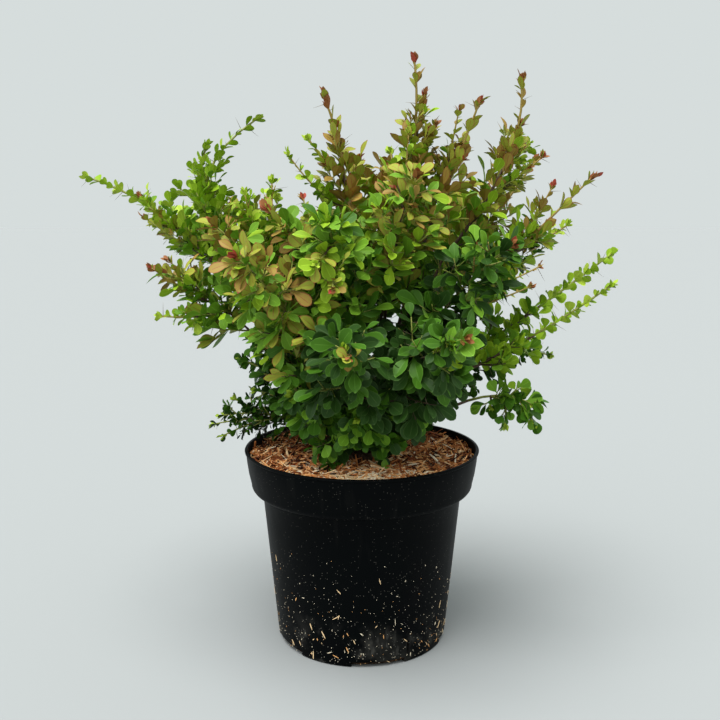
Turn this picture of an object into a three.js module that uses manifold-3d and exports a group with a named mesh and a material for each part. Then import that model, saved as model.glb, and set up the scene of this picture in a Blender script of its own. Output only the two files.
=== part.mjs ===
// A Japanese barberry (Berberis thunbergii) in a ten-litre nursery pot.
// Millimetres, +Z up. The origin is the middle of the pot's flat underside.
// Seen from the front, which is -Y, +X is to the right.
import * as THREE from "three";
import { mergeVertices } from "three/addons/utils/BufferGeometryUtils.js";
import Module from "manifold-3d";

const wasm = await Module();
wasm.setup();

const { clamp, degToRad, lerp } = THREE.MathUtils;
const vector = (x, y, z) => new THREE.Vector3(x, y, z);
const UP = vector(0, 0, 1);

// Clearance kept between neighbouring solids, and the least distance between two corners of one
const GAP = 0.3;
const TINY = 0.002;
// Points on each stem that the masses' spaces are measured from, and how far one may reach over
// the halfway line where nothing stands in its way
const SPACE_CHECKS = 12;
const SPACE_OVERREACH = 16;
// Straight steps that a curved edge of a turned profile is drawn in
const CURVE_STEPS = 2;
// Start of the random streams, one for each mass
const SEED = 9;
// The turn from one cane's seat to the next
const GOLDEN_ANGLE = degToRad(137.5);

// Pot: an injection-moulded nursery pot with a deep rim band and a drained foot
const POT = {
  height: 233,
  sides: 32,
  wall: 2.2,
  floor: 2.6,
  baseRadius: 102,
  wallTopRadius: 119.4,
  bandFoot: 182,
  bandCurve: 11,
  bandFootRadius: 132.5,
  bandTopRadius: 138.2,
  lipRadius: 140,
  lipHeight: 3.2,
};
// Drain slots cut up into the corner of the foot, between the pads it stands on
const DRAIN = { count: 5, first: 245, width: 36, depth: 13, height: 6.5 };

// Compost, and the shredded bark laid on it
const COMPOST_LEVEL = 212;
const BARK_LEVEL = 223;
const BARK_RINGS = 2;
const BARK_ROUGHNESS = 1.5;

// Woody stool that all the canes rise from, flared where its roots enter the compost
const STOOL = { footRadius: 48, headRadius: 37, height: 26, dome: 7, sides: 20 };

// Canes: one tapering limb each, from the stool to where its foliage begins. A cane bends at a
// share of the way outward and of its rise, and arches over by so much. bow is the step by which
// it is led round another one.
const CANE = {
  seat: 35,
  footRadius: 3.5,
  tipRadius: 0.9,
  sunk: 7,
  sides: 4,
  rows: 2,
  outward: 0.42,
  rise: 0.62,
  arch: 30,
  bow: 7,
  tries: 21,
  room: 1.2,
};
const CANE_CHECKS = 40;
const SEAT_TRADES = 20;
const STEEPEST_LEAN = degToRad(85);

// The stem that leads on from a cane, or from the stool, through a mass of foliage
const STEM = { sides: 3, rows: 4 };

// Twigs stand off their stem at this lean and lift a little towards the light. first and last are
// where along the stem they stand, and the foot is a point sunk past the stem's middle.
const TWIG = {
  perMass: 5,
  sides: 3,
  shares: [0, 0.13, 1],
  radii: [0, 1.4, 0.8],
  lean: degToRad(50),
  sway: 0.12,
  lift: 0.11,
  least: 22,
  shorten: 0.82,
  first: 0.06,
  last: 0.62,
  sunk: 0.4,
};
const CROWN_MIDDLE = vector(0, 0, 360);

// Leaves: obovate, widest past the middle. The outline is in shares of the length and the width.
const LEAF = {
  length: 54,
  tipLength: 38,
  shootTipLength: 24,
  width: 0.66,
  thickness: 2,
  crest: 0.5,
  outline: [
    [0, 0],
    [0.6, 0.5],
    [0.97, 0.26],
    [0.97, -0.26],
    [0.6, -0.5],
  ],
  lean: degToRad(60),
  tipLean: degToRad(6),
  roll: degToRad(45),
  upward: 0.45,
  sunk: 0.5,
  spacing: 18,
  firstOnStem: 0.3,
  firstOnTwig: 0.2,
  uneven: 0.08,
};

// The foliage masses. bearing is in degrees from +X towards the back; reach and height are where
// the last leaf ends; spread is the length of the lowest twigs; enter is the share of the cane
// that is bare. Where enter is nought the mass grows from the stool itself, without a cane.
// outward and arch override how far out and up a cane bends, and first is where along the stem
// the lowest twig stands. Shoots stand out of the crown with small leaves at their tips; the rest
// make its full body.
const MASSES = [
  { name: "far_left", bearing: 176, reach: 325, height: 553, spread: 60, enter: 0.42, shoot: true },
  { name: "left_high_outer", bearing: 160, reach: 205, height: 597, spread: 74, enter: 0.44, shoot: true },
  { name: "left_high_inner", bearing: 154, reach: 146, height: 621, spread: 66, enter: 0.46, shoot: true },
  { name: "left_middle", bearing: 194, reach: 240, height: 458, spread: 70, enter: 0.34 },
  { name: "left_body", bearing: 200, reach: 180, height: 510, spread: 80, enter: 0.36 },
  { name: "left_low", bearing: 203, reach: 150, height: 372, spread: 72, enter: 0 },
  { name: "low_left", bearing: 168, reach: 186, height: 262, spread: 56, enter: 0 },
  { name: "peak_left", bearing: 206, reach: 46, height: 643, spread: 78, enter: 0.46, shoot: true },
  { name: "top_peak", bearing: 331, reach: 63, height: 681, spread: 64, enter: 0.46, shoot: true },
  { name: "peak_middle", bearing: 347, reach: 137, height: 643, spread: 76, enter: 0.46, shoot: true },
  { name: "peak_right", bearing: 6, reach: 186, height: 668, spread: 70, enter: 0.44, shoot: true },
  { name: "right_high", bearing: 20, reach: 232, height: 580, spread: 74, enter: 0.4, shoot: true },
  { name: "right_wide", bearing: 356, reach: 268, height: 559, spread: 72, enter: 0.4, shoot: true },
  { name: "far_right_upper", bearing: 11, reach: 319, height: 466, spread: 50, enter: 0.4, shoot: true },
  { name: "far_right_lower", bearing: 355, reach: 293, height: 431, spread: 50, enter: 0.4, shoot: true },
  { name: "low_right", bearing: 14, reach: 249, height: 328, spread: 56, enter: 0.34 },
  { name: "bottom_right", bearing: 347, reach: 210, height: 308, spread: 46, enter: 0 },
  { name: "front_left", bearing: 234, reach: 220, height: 480, spread: 80, enter: 0.3 },
  { name: "front_top", bearing: 256, reach: 150, height: 520, spread: 80, enter: 0.34 },
  { name: "front_high", bearing: 300, reach: 120, height: 565, spread: 80, enter: 0.4 },
  { name: "front_middle", bearing: 265, reach: 226, height: 395, spread: 80, enter: 0.28 },
  { name: "front_right", bearing: 294, reach: 226, height: 395, spread: 80, enter: 0.28 },
  { name: "right_front", bearing: 322, reach: 205, height: 490, spread: 80, enter: 0.3 },
  { name: "front_low", bearing: 268, reach: 128, height: 300, spread: 66, enter: 0 },
  { name: "front_low_right", bearing: 306, reach: 128, height: 310, spread: 66, enter: 0 },
  { name: "front_low_left", bearing: 236, reach: 145, height: 325, spread: 72, enter: 0 },
  { name: "back_left", bearing: 135, reach: 255, height: 530, spread: 84, enter: 0.34 },
  { name: "back_top", bearing: 86, reach: 120, height: 620, spread: 84, enter: 0.42 },
  { name: "back_middle", bearing: 97, reach: 255, height: 470, spread: 84, enter: 0.32 },
  { name: "back_right", bearing: 52, reach: 250, height: 545, spread: 84, enter: 0.34 },
  { name: "back_low_left", bearing: 128, reach: 205, height: 340, spread: 80, enter: 0 },
  { name: "back_low_right", bearing: 62, reach: 222, height: 345, spread: 80, enter: 0 },
];
// The canes that bend other than the rest
const BENDS = {
  far_left: { arch: 62 },
  left_high_outer: { outward: 1.25 },
  left_high_inner: { outward: 1.6 },
  top_peak: { outward: 0.9 },
  peak_right: { outward: 0.65 },
  far_right_upper: { arch: 8 },
  far_right_lower: { arch: 12 },
  bottom_right: { first: 0.5 },
  low_left: { first: 0.3 },
};

const black = new THREE.MeshStandardMaterial({ color: 0x15171a, roughness: 0.5, metalness: 0 });
const compost = new THREE.MeshStandardMaterial({ color: 0x2c2018, roughness: 1, metalness: 0 });
const shreddedBark = new THREE.MeshStandardMaterial({ color: 0x8a5c38, roughness: 0.95, metalness: 0 });
const wood = new THREE.MeshStandardMaterial({ color: 0x4a3526, roughness: 0.9, metalness: 0 });
const foliage = new THREE.MeshStandardMaterial({ color: 0x4f7d22, roughness: 0.55, metalness: 0 });

// Solids and geometry

function toSolid(geometry) {
  const bare = geometry.clone();
  bare.deleteAttribute("normal");
  bare.deleteAttribute("uv");
  const merged = mergeVertices(bare, 1e-4);
  const corners = merged.index.array;
  const faces = [];
  for (let i = 0; i < corners.length; i += 3) {
    const face = corners.slice(i, i + 3);
    if (new Set(face).size === 3) faces.push(...face);
  }
  const mesh = new wasm.Mesh({
    numProp: 3,
    vertProperties: new Float32Array(merged.attributes.position.array),
    triVerts: new Uint32Array(faces),
  });
  return new wasm.Manifold(mesh);
}

function toGeometry(solid) {
  const mesh = solid.getMesh();
  const geometry = new THREE.BufferGeometry();
  geometry.setAttribute("position", new THREE.BufferAttribute(mesh.vertProperties, mesh.numProp));
  geometry.setIndex(new THREE.BufferAttribute(mesh.triVerts, 1));
  geometry.computeVertexNormals();
  return geometry;
}

// Joins solids into one body: loose scraps are dropped and sealed hollows filled.
function fuse(solids) {
  const bodies = wasm.Manifold.union(solids).decompose();
  return bodies.reduce((best, body) => (body.volume() > best.volume() ? body : best));
}

// True if no two corners of a solid are so close that they would run together.
function isCrisp(solid) {
  const geometry = toGeometry(solid);
  geometry.deleteAttribute("normal");
  return mergeVertices(geometry, TINY).attributes.position.count === solid.numVert();
}

function boxesNear(a, b, reach) {
  return [0, 1, 2].every((i) => a.min[i] - reach < b.max[i] && b.min[i] - reach < a.max[i]);
}

// True if a solid keeps its clearance to every other one.
function isClear(solid, others, clearance = GAP) {
  const box = solid.boundingBox();
  const near = others.filter((other) => boxesNear(box, other.boundingBox(), clearance));
  return near.every((other) => solid.minGap(other, clearance * 2) >= clearance);
}

// A small random stream that gives the same numbers on every run.
function seeded(seed) {
  let state = seed;
  return (low, high) => {
    state = (state * 16807) % 2147483647;
    return lerp(low, high, state / 2147483647);
  };
}

// A lathed profile of (radius, height) points, turned so that its axis is +Z.
function turned(profile, sides) {
  return new THREE.LatheGeometry(profile, sides).rotateX(Math.PI / 2);
}

// A tapering limb along a curve: a cylinder whose rows of vertices are moved onto it. The rows
// stand at the given shares of its length, and each has its own radius; a foot of no radius is a
// point.
class Limb {
  constructor(curve, sides, shares, radii) {
    Object.assign(this, { curve, sides, shares, radii });
    this.points = shares.map((share) => curve.getPoint(share));
    this.side = sidewaysOf(curve.getPoint(1).sub(curve.getPoint(0)));
  }

  get geometry() {
    const rows = this.shares.length - 1;
    const geometry = new THREE.CylinderGeometry(1, 1, 1, this.sides, rows);
    const positions = geometry.attributes.position;
    for (let i = 0; i < positions.count; i++) {
      const row = Math.round((positions.getY(i) + 0.5) * rows);
      const turn = Math.atan2(positions.getX(i), positions.getZ(i));
      const reach = Math.hypot(positions.getX(i), positions.getZ(i)) * this.radii[row];
      const outward = this.squareTo(this.curve.getTangent(this.shares[row]), turn);
      const point = this.points[row].clone().addScaledVector(outward, reach);
      positions.setXYZ(i, point.x, point.y, point.z);
    }
    return geometry;
  }

  rowBefore(share) {
    return this.shares.findLastIndex((start, row) => start <= share && row < this.shares.length - 1);
  }

  // The point on the limb's line, which runs straight from row to row.
  pointAt(share) {
    const row = this.rowBefore(share);
    const along = (share - this.shares[row]) / (this.shares[row + 1] - this.shares[row]);
    return this.points[row].clone().lerp(this.points[row + 1], along);
  }

  directionAt(share) {
    const row = this.rowBefore(share);
    return this.points[row + 1].clone().sub(this.points[row]).normalize();
  }

  // Square to a direction, turned about it by an angle.
  squareTo(direction, turn) {
    const square = this.side.clone().addScaledVector(direction, -this.side.dot(direction));
    return square.normalize().applyAxisAngle(direction, turn);
  }

  // A direction that leans off the limb by an angle, out of the middle of one of its faces.
  branching(share, face, lean) {
    const turn = ((face + 0.5) * 2 * Math.PI) / this.sides;
    const direction = this.directionAt(share);
    const outward = this.squareTo(direction, turn);
    return direction.multiplyScalar(Math.cos(lean)).addScaledVector(outward, Math.sin(lean));
  }
}

// A direction square to a limb's: level, unless the limb itself stands upright.
function sidewaysOf(direction) {
  const level = vector().crossVectors(direction, UP);
  return level.length() > 0.02 * direction.length() ? level.normalize() : vector(1, 0, 0);
}

// Even shares of a limb's length, from its foot to its tip.
function evenly(rows) {
  return Array.from({ length: rows + 1 }, (_, row) => row / rows);
}

// A thin obovate leaf: a shallow pyramid over an outline that runs base, side, tip, tip, side.
function leafGeometry(foot, along, face, length) {
  const outline = LEAF.outline.map(([share, side]) => [share * length, side * LEAF.width * length]);
  const across = vector().crossVectors(along, face);
  const geometry = new THREE.SphereGeometry(1, outline.length, 2);
  const positions = geometry.attributes.position;
  for (let i = 0; i < positions.count; i++) {
    const pole = Math.round(positions.getY(i));
    const turn = Math.atan2(positions.getZ(i), -positions.getX(i)) / (2 * Math.PI);
    const corner = (Math.round(turn * outline.length) + outline.length) % outline.length;
    const [share, side] = pole > 0 ? [LEAF.crest * length, 0] : outline[pole ? 1 : corner];
    const point = foot
      .clone()
      .addScaledVector(along, share)
      .addScaledVector(across, side)
      .addScaledVector(face, pole > 0 ? LEAF.thickness : 0);
    positions.setXYZ(i, point.x, point.y, point.z);
  }
  return geometry;
}

// Pot and what fills it

// The pot's outline from the foot to the lip, drawn inset by a distance from its outer face.
function potOutline(inset, floor) {
  const path = new THREE.Path();
  const bandBase = POT.bandFoot + inset;
  path.moveTo(0, floor);
  path.lineTo(POT.baseRadius - inset, floor);
  path.lineTo(POT.wallTopRadius - inset, bandBase);
  path.quadraticCurveTo(
    POT.bandFootRadius - inset - 1,
    bandBase + 1,
    POT.bandFootRadius - inset,
    bandBase + POT.bandCurve,
  );
  return path;
}

function outlinePoints(path) {
  return path.getPoints(CURVE_STEPS).map((point) => new THREE.Vector2(point.x, point.y));
}

function makePot() {
  const outer = potOutline(0, 0);
  const lipFoot = POT.height - POT.lipHeight;
  outer.lineTo(POT.bandTopRadius, lipFoot);
  outer.lineTo(POT.lipRadius, lipFoot + 0.8);
  outer.lineTo(POT.lipRadius, POT.height - 0.8);
  outer.lineTo(POT.lipRadius - 1, POT.height);
  const inner = potOutline(POT.wall, POT.floor);
  inner.lineTo(POT.bandTopRadius - POT.wall, POT.height);
  const profile = [...outlinePoints(outer), ...outlinePoints(inner).reverse()];
  const slots = Array.from({ length: DRAIN.count }, (_, i) => drainCutter(i));
  return toSolid(turned(profile, POT.sides)).subtract(wasm.Manifold.union(slots));
}

function drainCutter(index) {
  const middle = degToRad(DRAIN.first + (index * 360) / DRAIN.count);
  const half = degToRad(DRAIN.width / 2);
  const sector = new THREE.Shape();
  sector.absarc(0, 0, POT.baseRadius + 5, middle - half, middle + half, false);
  sector.absarc(0, 0, POT.baseRadius - DRAIN.depth, middle + half, middle - half, true);
  const geometry = new THREE.ExtrudeGeometry(sector, {
    depth: DRAIN.height + 1,
    bevelEnabled: false,
    curveSegments: 5,
  });
  return toSolid(geometry.translate(0, 0, -1));
}

// The root ball fills the pot from its floor to the compost level.
function makeRootBall() {
  const path = potOutline(POT.wall + GAP, POT.floor + GAP);
  path.lineTo(insideRadius(COMPOST_LEVEL), COMPOST_LEVEL);
  path.lineTo(0, COMPOST_LEVEL);
  return toSolid(turned(outlinePoints(path), POT.sides));
}

// The radius of whatever fills the band at a height, clear of its inner face.
function insideRadius(height) {
  const foot = POT.bandFoot + POT.wall + POT.bandCurve;
  const share = (height - foot) / (POT.height - foot);
  return lerp(POT.bandFootRadius, POT.bandTopRadius, share) - POT.wall - GAP;
}

// Low swells and hollows in the bark, the same wherever they are read.
function swell(x, y) {
  return Math.sin(x / 7 + y / 17) * Math.cos(y / 8 - x / 23) * BARK_ROUGHNESS;
}

function makeBark() {
  const hole = STOOL.footRadius + GAP;
  const floor = COMPOST_LEVEL + GAP;
  const profile = [new THREE.Vector2(hole, floor), new THREE.Vector2(insideRadius(floor), floor)];
  for (let ring = BARK_RINGS; ring >= 0; ring--) {
    const radius = lerp(hole, insideRadius(BARK_LEVEL), ring / BARK_RINGS);
    profile.push(new THREE.Vector2(radius, BARK_LEVEL));
  }
  profile.push(profile[0].clone());
  const geometry = turned(profile, POT.sides);
  const positions = geometry.attributes.position;
  for (let i = 0; i < positions.count; i++) {
    if (positions.getZ(i) > floor + 1) {
      positions.setZ(i, BARK_LEVEL + swell(positions.getX(i), positions.getY(i)));
    }
  }
  return toSolid(geometry);
}

// The stool's outline, grown by a clearance to cut the canes that sit on it.
function stoolGeometry(grown) {
  const foot = COMPOST_LEVEL + GAP;
  const path = new THREE.Path();
  path.moveTo(0, foot - grown);
  path.lineTo(STOOL.footRadius + grown, foot - grown);
  path.quadraticCurveTo(
    STOOL.headRadius + 2 + grown,
    foot + 4 + grown,
    STOOL.headRadius + grown,
    foot + STOOL.height - STOOL.dome,
  );
  path.quadraticCurveTo(
    STOOL.headRadius - 2,
    foot + STOOL.height + grown,
    0,
    foot + STOOL.height + grown,
  );
  return turned(outlinePoints(path), STOOL.sides);
}

// Canes and the stems that carry the foliage

// Seats for the canes: a sunflower's spiral over the stool's head.
function caneSeats(count) {
  return Array.from({ length: count }, (_, k) => {
    const radius = CANE.seat * Math.sqrt((k + 0.5) / count);
    return new THREE.Vector2(radius, 0).rotateAround(new THREE.Vector2(), k * GOLDEN_ANGLE);
  });
}

function tipLeafLength(mass) {
  return mass.shoot ? LEAF.shootTipLength : LEAF.tipLength;
}

// Where the stem of a mass ends: short of the mass's furthest point by its last leaf.
function tipOf(mass) {
  const bearing = degToRad(mass.bearing);
  const furthest = vector(mass.reach * Math.cos(bearing), mass.reach * Math.sin(bearing), mass.height);
  const head = vector(0, 0, COMPOST_LEVEL + STOOL.height);
  return furthest.addScaledVector(head.sub(furthest).normalize(), tipLeafLength(mass) * 0.9);
}

// How far a mass leans out from upright, as seen from the stool's head.
function leanOf(mass) {
  return Math.atan2(mass.reach, mass.height - COMPOST_LEVEL - STOOL.height);
}

// Where a mass's cane wants to leave the stool: outermost for the ones that lean out most.
function wantedSeat(mass) {
  const tip = tipOf(mass);
  return new THREE.Vector2(tip.x, tip.y).setLength((CANE.seat * leanOf(mass)) / STEEPEST_LEAN);
}

// Gives each mass its own seat. Neighbours trade seats for as long as that brings both canes
// nearer to where they want to be, so that hardly any has to cross another.
function seatCanes(masses) {
  const wanted = masses.map(wantedSeat);
  const seats = caneSeats(masses.length);
  const miss = (i, j) => seats[j].distanceToSquared(wanted[i]);
  for (let round = 0; round < SEAT_TRADES; round++) {
    for (let i = 0; i < seats.length; i++) {
      for (let j = i + 1; j < seats.length; j++) {
        if (miss(i, j) + miss(j, i) < miss(i, i) + miss(j, j)) {
          [seats[i], seats[j]] = [seats[j], seats[i]];
        }
      }
    }
  }
  return seats;
}

// The whole line of a cane and its leading stem: up steeply, then arching out to the tip. A bow
// carries its middle to one side.
function caneLine(mass, seat, bow) {
  const head = COMPOST_LEVEL + GAP + STOOL.height;
  const tip = tipOf(mass);
  const foot = vector(seat.x, seat.y, head - CANE.sunk);
  const { outward = CANE.outward, arch = CANE.arch } = BENDS[mass.name] ?? {};
  const bend = vector(
    lerp(foot.x, tip.x, outward),
    lerp(foot.y, tip.y, outward),
    lerp(foot.z, tip.z, CANE.rise) + arch,
  );
  bend.add(vector(-tip.y, tip.x, 0).setLength(bow));
  return new THREE.QuadraticBezierCurve3(foot, bend, tip);
}

// True if two limbs' lines stay further apart than both limbs are thick.
function passClear(line, other) {
  return line.every((point, i) =>
    other.every((rival, j) => {
      const thick = caneRadius(i / CANE_CHECKS) + caneRadius(j / CANE_CHECKS);
      return point.distanceTo(rival) > thick + CANE.room;
    }),
  );
}

// Leads each cane past the ones before it: straight out if it can, or else bowed to one side.
function leadCanes(masses) {
  const seats = seatCanes(masses);
  const outermostFirst = masses.map((_, i) => i).sort((a, b) => leanOf(masses[b]) - leanOf(masses[a]));
  const lines = [];
  const taken = [];
  for (const i of outermostFirst) {
    const bows = Array.from({ length: CANE.tries }, (_, k) => Math.ceil(k / 2) * CANE.bow * (-1) ** k);
    const choices = bows.map((bow) => caneLine(masses[i], seats[i], bow));
    const clear = (line) => taken.every((other) => passClear(line.getPoints(CANE_CHECKS), other));
    const line = choices.find(clear) ?? choices[0];
    lines[i] = line;
    taken.push(line.getPoints(CANE_CHECKS));
  }
  return lines;
}

// The stretch of a quadratic curve between two shares of its length.
function stretch(curve, from, to) {
  const start = curve.getPoint(from);
  const end = curve.getPoint(to);
  const bend = start.clone().addScaledVector(derivative(curve, from), (to - from) / 2);
  return new THREE.QuadraticBezierCurve3(start, bend, end);
}

function derivative(curve, share) {
  const { v0, v1, v2 } = curve;
  const early = vector().subVectors(v1, v0).multiplyScalar(2 * (1 - share));
  const late = vector().subVectors(v2, v1).multiplyScalar(2 * share);
  return early.add(late);
}

function caneRadius(share) {
  return lerp(CANE.footRadius, CANE.tipRadius, Math.sqrt(share));
}

function makeCane(line, mass, stoolCutter) {
  const curve = stretch(line, 0, mass.enter);
  const shares = evenly(CANE.rows);
  const radii = shares.map((share) => caneRadius(share * mass.enter));
  return fuse([toSolid(new Limb(curve, CANE.sides, shares, radii).geometry).subtract(stoolCutter)]);
}

// The stem starts a clearance beyond its cane's end, or is cut to sit on the stool like a cane.
function makeStem(line, mass) {
  const start = mass.enter ? mass.enter + GAP / derivative(line, mass.enter).length() : 0;
  const shares = evenly(STEM.rows);
  const radii = shares.map((share) => caneRadius(lerp(start, 1, share)));
  return new Limb(stretch(line, start, 1), STEM.sides, shares, radii);
}

// Foliage

// The space of each mass is the part of the crown nearer to its own stem than to any other's, and
// a little way over into theirs.
function inSpace(points, own, others) {
  return points.every((point) => {
    const near = distanceToAny(point, own) - SPACE_OVERREACH;
    return others.every((other) => distanceToAny(point, other) > near);
  });
}

function distanceToAny(point, places) {
  return Math.min(...places.map((place) => point.distanceTo(place)));
}

function twigCurve(foot, direction, length) {
  const bend = foot.clone().addScaledVector(direction, length / 2);
  const tip = foot.clone().addScaledVector(direction, length);
  tip.addScaledVector(UP, TWIG.lift * length);
  return new THREE.QuadraticBezierCurve3(foot, bend, tip);
}

// A leaf faces the light: square to its own line, and turned out of the crown and up as far as
// that allows, but rolled a little to one side.
function leafFace(along, foot, roll) {
  const out = foot.clone().sub(CROWN_MIDDLE).normalize();
  const face = out.addScaledVector(UP, LEAF.upward);
  return face.addScaledVector(along, -face.dot(along)).normalize().applyAxisAngle(along, roll);
}

function cornersOf(geometry) {
  const positions = geometry.attributes.position;
  return Array.from({ length: positions.count }, (_, i) =>
    vector().fromBufferAttribute(positions, i),
  );
}

// A mass of foliage: the pieces it has so far, and everything it has to keep clear of.
class Mass {
  constructor(plan, seed, stem, solid, otherStems, inTheWay) {
    Object.assign(this, { plan, stem, inTheWay });
    this.own = stem.curve.getPoints(SPACE_CHECKS);
    this.others = otherStems.map((other) => other.curve.getPoints(SPACE_CHECKS));
    this.pieces = [solid];
    this.leaves = [];
    this.random = seeded(seed + plan.bearing * plan.height);
  }

  fits(geometry, solid) {
    return inSpace(cornersOf(geometry), this.own, this.others) && isClear(solid, this.inTheWay);
  }

  // A leaf that would touch another, or leave the mass's space, is tried on the limb's other sides.
  addLeaf(limb, share, side, lean) {
    const foot = limb.pointAt(share);
    const length = this.leafLength(foot);
    const roll = this.random(-LEAF.roll, LEAF.roll);
    for (let k = 0; k < limb.sides; k++) {
      const along = limb.branching(share, side + k, lean);
      const geometry = leafGeometry(foot, along, leafFace(along, foot, roll), length);
      const solid = toSolid(geometry);
      if (this.fits(geometry, solid) && isClear(solid, this.leaves)) {
        this.leaves.push(solid);
        return;
      }
    }
  }

  // Leaves round a limb, one at each step along it, and one at its tip.
  addLeaves(limb, from, side) {
    const length = limb.curve.getLength();
    const count = Math.max(1, Math.round((length * (1 - from)) / LEAF.spacing));
    for (let k = 0; k < count; k++) {
      this.addLeaf(limb, lerp(from, 1, (k + 0.4) / count), side + k, LEAF.lean);
    }
    this.addLeaf(limb, 1 - LEAF.sunk / length, side, LEAF.tipLean);
  }

  // Leaves are shorter towards the tip of the mass.
  leafLength(foot) {
    const reached = foot.distanceTo(this.stem.curve.v0) / this.stem.curve.getLength();
    const tip = tipLeafLength(this.plan);
    return lerp(LEAF.length, tip, clamp(reached, 0, 1)) * this.random(1 - LEAF.uneven, 1 + LEAF.uneven);
  }

  // A twig that would leave the mass's space is tried shorter, and then left out. Its pointed foot
  // is sunk past the middle of the stem.
  addTwig(share, face) {
    const lean = TWIG.lean + this.random(-TWIG.sway, TWIG.sway);
    const direction = this.stem.branching(share, face, lean);
    const sunk = this.stem.branching(share, face, Math.PI / 2).multiplyScalar(TWIG.sunk);
    const foot = this.stem.pointAt(share).sub(sunk);
    const full = this.plan.spread * (1 - share) * this.random(1 - TWIG.sway, 1 + TWIG.sway);
    for (let length = full; length > TWIG.least; length *= TWIG.shorten) {
      const curve = twigCurve(foot, direction, length);
      const twig = new Limb(curve, TWIG.sides, TWIG.shares, TWIG.radii);
      const solid = toSolid(twig.geometry);
      if (this.fits(twig.geometry, solid)) {
        this.pieces.push(solid);
        this.addLeaves(twig, LEAF.firstOnTwig, Math.floor(this.random(0, TWIG.sides)));
        return;
      }
    }
  }

  grow() {
    const { first = TWIG.first } = BENDS[this.plan.name] ?? {};
    const start = Math.floor(this.random(0, STEM.sides));
    for (let k = 0; k < TWIG.perMass; k++) {
      this.addTwig(lerp(first, TWIG.last, k / (TWIG.perMass - 1)), start + k);
    }
    this.addLeaves(this.stem, Math.max(first, LEAF.firstOnStem), start + 1);
    return fuse([...this.pieces, ...this.leaves]);
  }
}

// Assembly

const plant = new THREE.Group();

function add(name, solid, material) {
  const mesh = new THREE.Mesh(toGeometry(solid), material);
  mesh.name = name;
  plant.add(mesh);
}

const pot = makePot();
const bark = makeBark();
const stool = toSolid(stoolGeometry(0));
add("pot", pot, black);
add("root_ball", makeRootBall(), compost);
add("bark_mulch", bark, shreddedBark);
add("stool", stool, wood);

const stoolCutter = toSolid(stoolGeometry(GAP));
const lines = leadCanes(MASSES);
const canes = MASSES.map((mass, i) => (mass.enter ? makeCane(lines[i], mass, stoolCutter) : null));
const stems = MASSES.map((mass, i) => makeStem(lines[i], mass));
const stemSolids = stems.map((stem) => fuse([toSolid(stem.geometry).subtract(stoolCutter)]));
const grown = [];

MASSES.forEach((plan, i) => {
  if (canes[i]) add(`cane_${plan.name}`, canes[i], wood);
  const otherStems = stems.filter((_, j) => j !== i);
  const otherSolids = stemSolids.filter((_, j) => j !== i);
  const inTheWay = [pot, bark, stool, ...canes.filter(Boolean), ...otherSolids, ...grown];
  let seed = SEED;
  let solid = null;
  while (!solid || !isCrisp(solid)) {
    solid = new Mass(plan, seed, stems[i], stemSolids[i], otherStems, inTheWay).grow();
    seed += 1;
  }
  grown.push(solid);
  add(`foliage_${plan.name}`, solid, foliage);
});

export default plant;
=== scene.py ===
"""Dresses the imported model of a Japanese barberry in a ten-litre nursery pot.

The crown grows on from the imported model's canes by the same rule as the part's source, carried
to finer twigs: canes rise from one stool, each leads on as the stem of one mass, and twigs,
branchlets and tufts of leaves stand off that stem inside the mass's own space. The rule is
worked in millimetres, as in the source, and turned into metres where a mesh is made.
"""

from __future__ import annotations

import logging
import math
from collections.abc import Callable, Sequence
from dataclasses import dataclass, field, replace
from enum import Enum

import bpy
import numpy as np
from numpy.typing import NDArray
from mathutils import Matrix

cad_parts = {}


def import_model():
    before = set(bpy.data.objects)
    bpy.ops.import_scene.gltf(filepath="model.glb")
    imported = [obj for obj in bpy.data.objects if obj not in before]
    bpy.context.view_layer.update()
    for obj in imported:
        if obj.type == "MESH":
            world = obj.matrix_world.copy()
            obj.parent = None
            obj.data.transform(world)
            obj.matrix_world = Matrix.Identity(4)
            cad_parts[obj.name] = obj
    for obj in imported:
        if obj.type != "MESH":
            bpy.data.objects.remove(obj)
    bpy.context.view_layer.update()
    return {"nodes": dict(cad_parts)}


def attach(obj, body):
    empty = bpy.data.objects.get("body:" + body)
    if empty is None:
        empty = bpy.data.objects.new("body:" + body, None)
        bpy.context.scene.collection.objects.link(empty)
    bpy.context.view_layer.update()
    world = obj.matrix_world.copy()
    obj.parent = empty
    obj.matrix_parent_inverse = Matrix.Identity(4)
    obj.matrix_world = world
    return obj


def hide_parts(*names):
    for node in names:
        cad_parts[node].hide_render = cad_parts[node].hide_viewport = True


LOG = logging.getLogger("barberry")
BODY = "root"
MM = 0.001

Array = NDArray[np.float64]
Pair = tuple[float, float]
Triple = tuple[float, float, float]
Colour = Triple
Pattern = tuple[float, float, Triple]
Face = tuple[int, ...]

UP = np.array([0.0, 0.0, 1.0])
GOLDEN_ANGLE = math.radians(137.5)
# A direction whose level part is a smaller share of it than this counts as upright
UPRIGHT = 0.02
# Points at which a curve is measured
LENGTH_POINTS = 25
# The largest share that still falls on the last item of a list
LAST_SHARE = 0.999


# Small vector tools


def unit(vector: Array) -> Array:
    """Scale a vector, or each of an array of them, to length one."""
    return vector / np.linalg.norm(vector, axis=-1, keepdims=True)


def lerp(low: float, high: float, share: float) -> float:
    """Mix two numbers by a share from 0 to 1."""
    return low + (high - low) * share


def clamp(value: float, low: float = 0.0, high: float = 1.0) -> float:
    """Keep a number between two limits."""
    return max(low, min(high, value))


def turned_about(vector: Array, axis: Array, angle: float) -> Array:
    """Turn a vector about an axis.

    Args:
        vector: the vector.
        axis: a direction of length one.
        angle: the turn, in radians.

    Returns:
        The turned vector.
    """
    cosine, sine = math.cos(angle), math.sin(angle)
    along = axis * float(np.dot(axis, vector)) * (1 - cosine)
    return vector * cosine + np.cross(axis, vector) * sine + along


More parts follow.
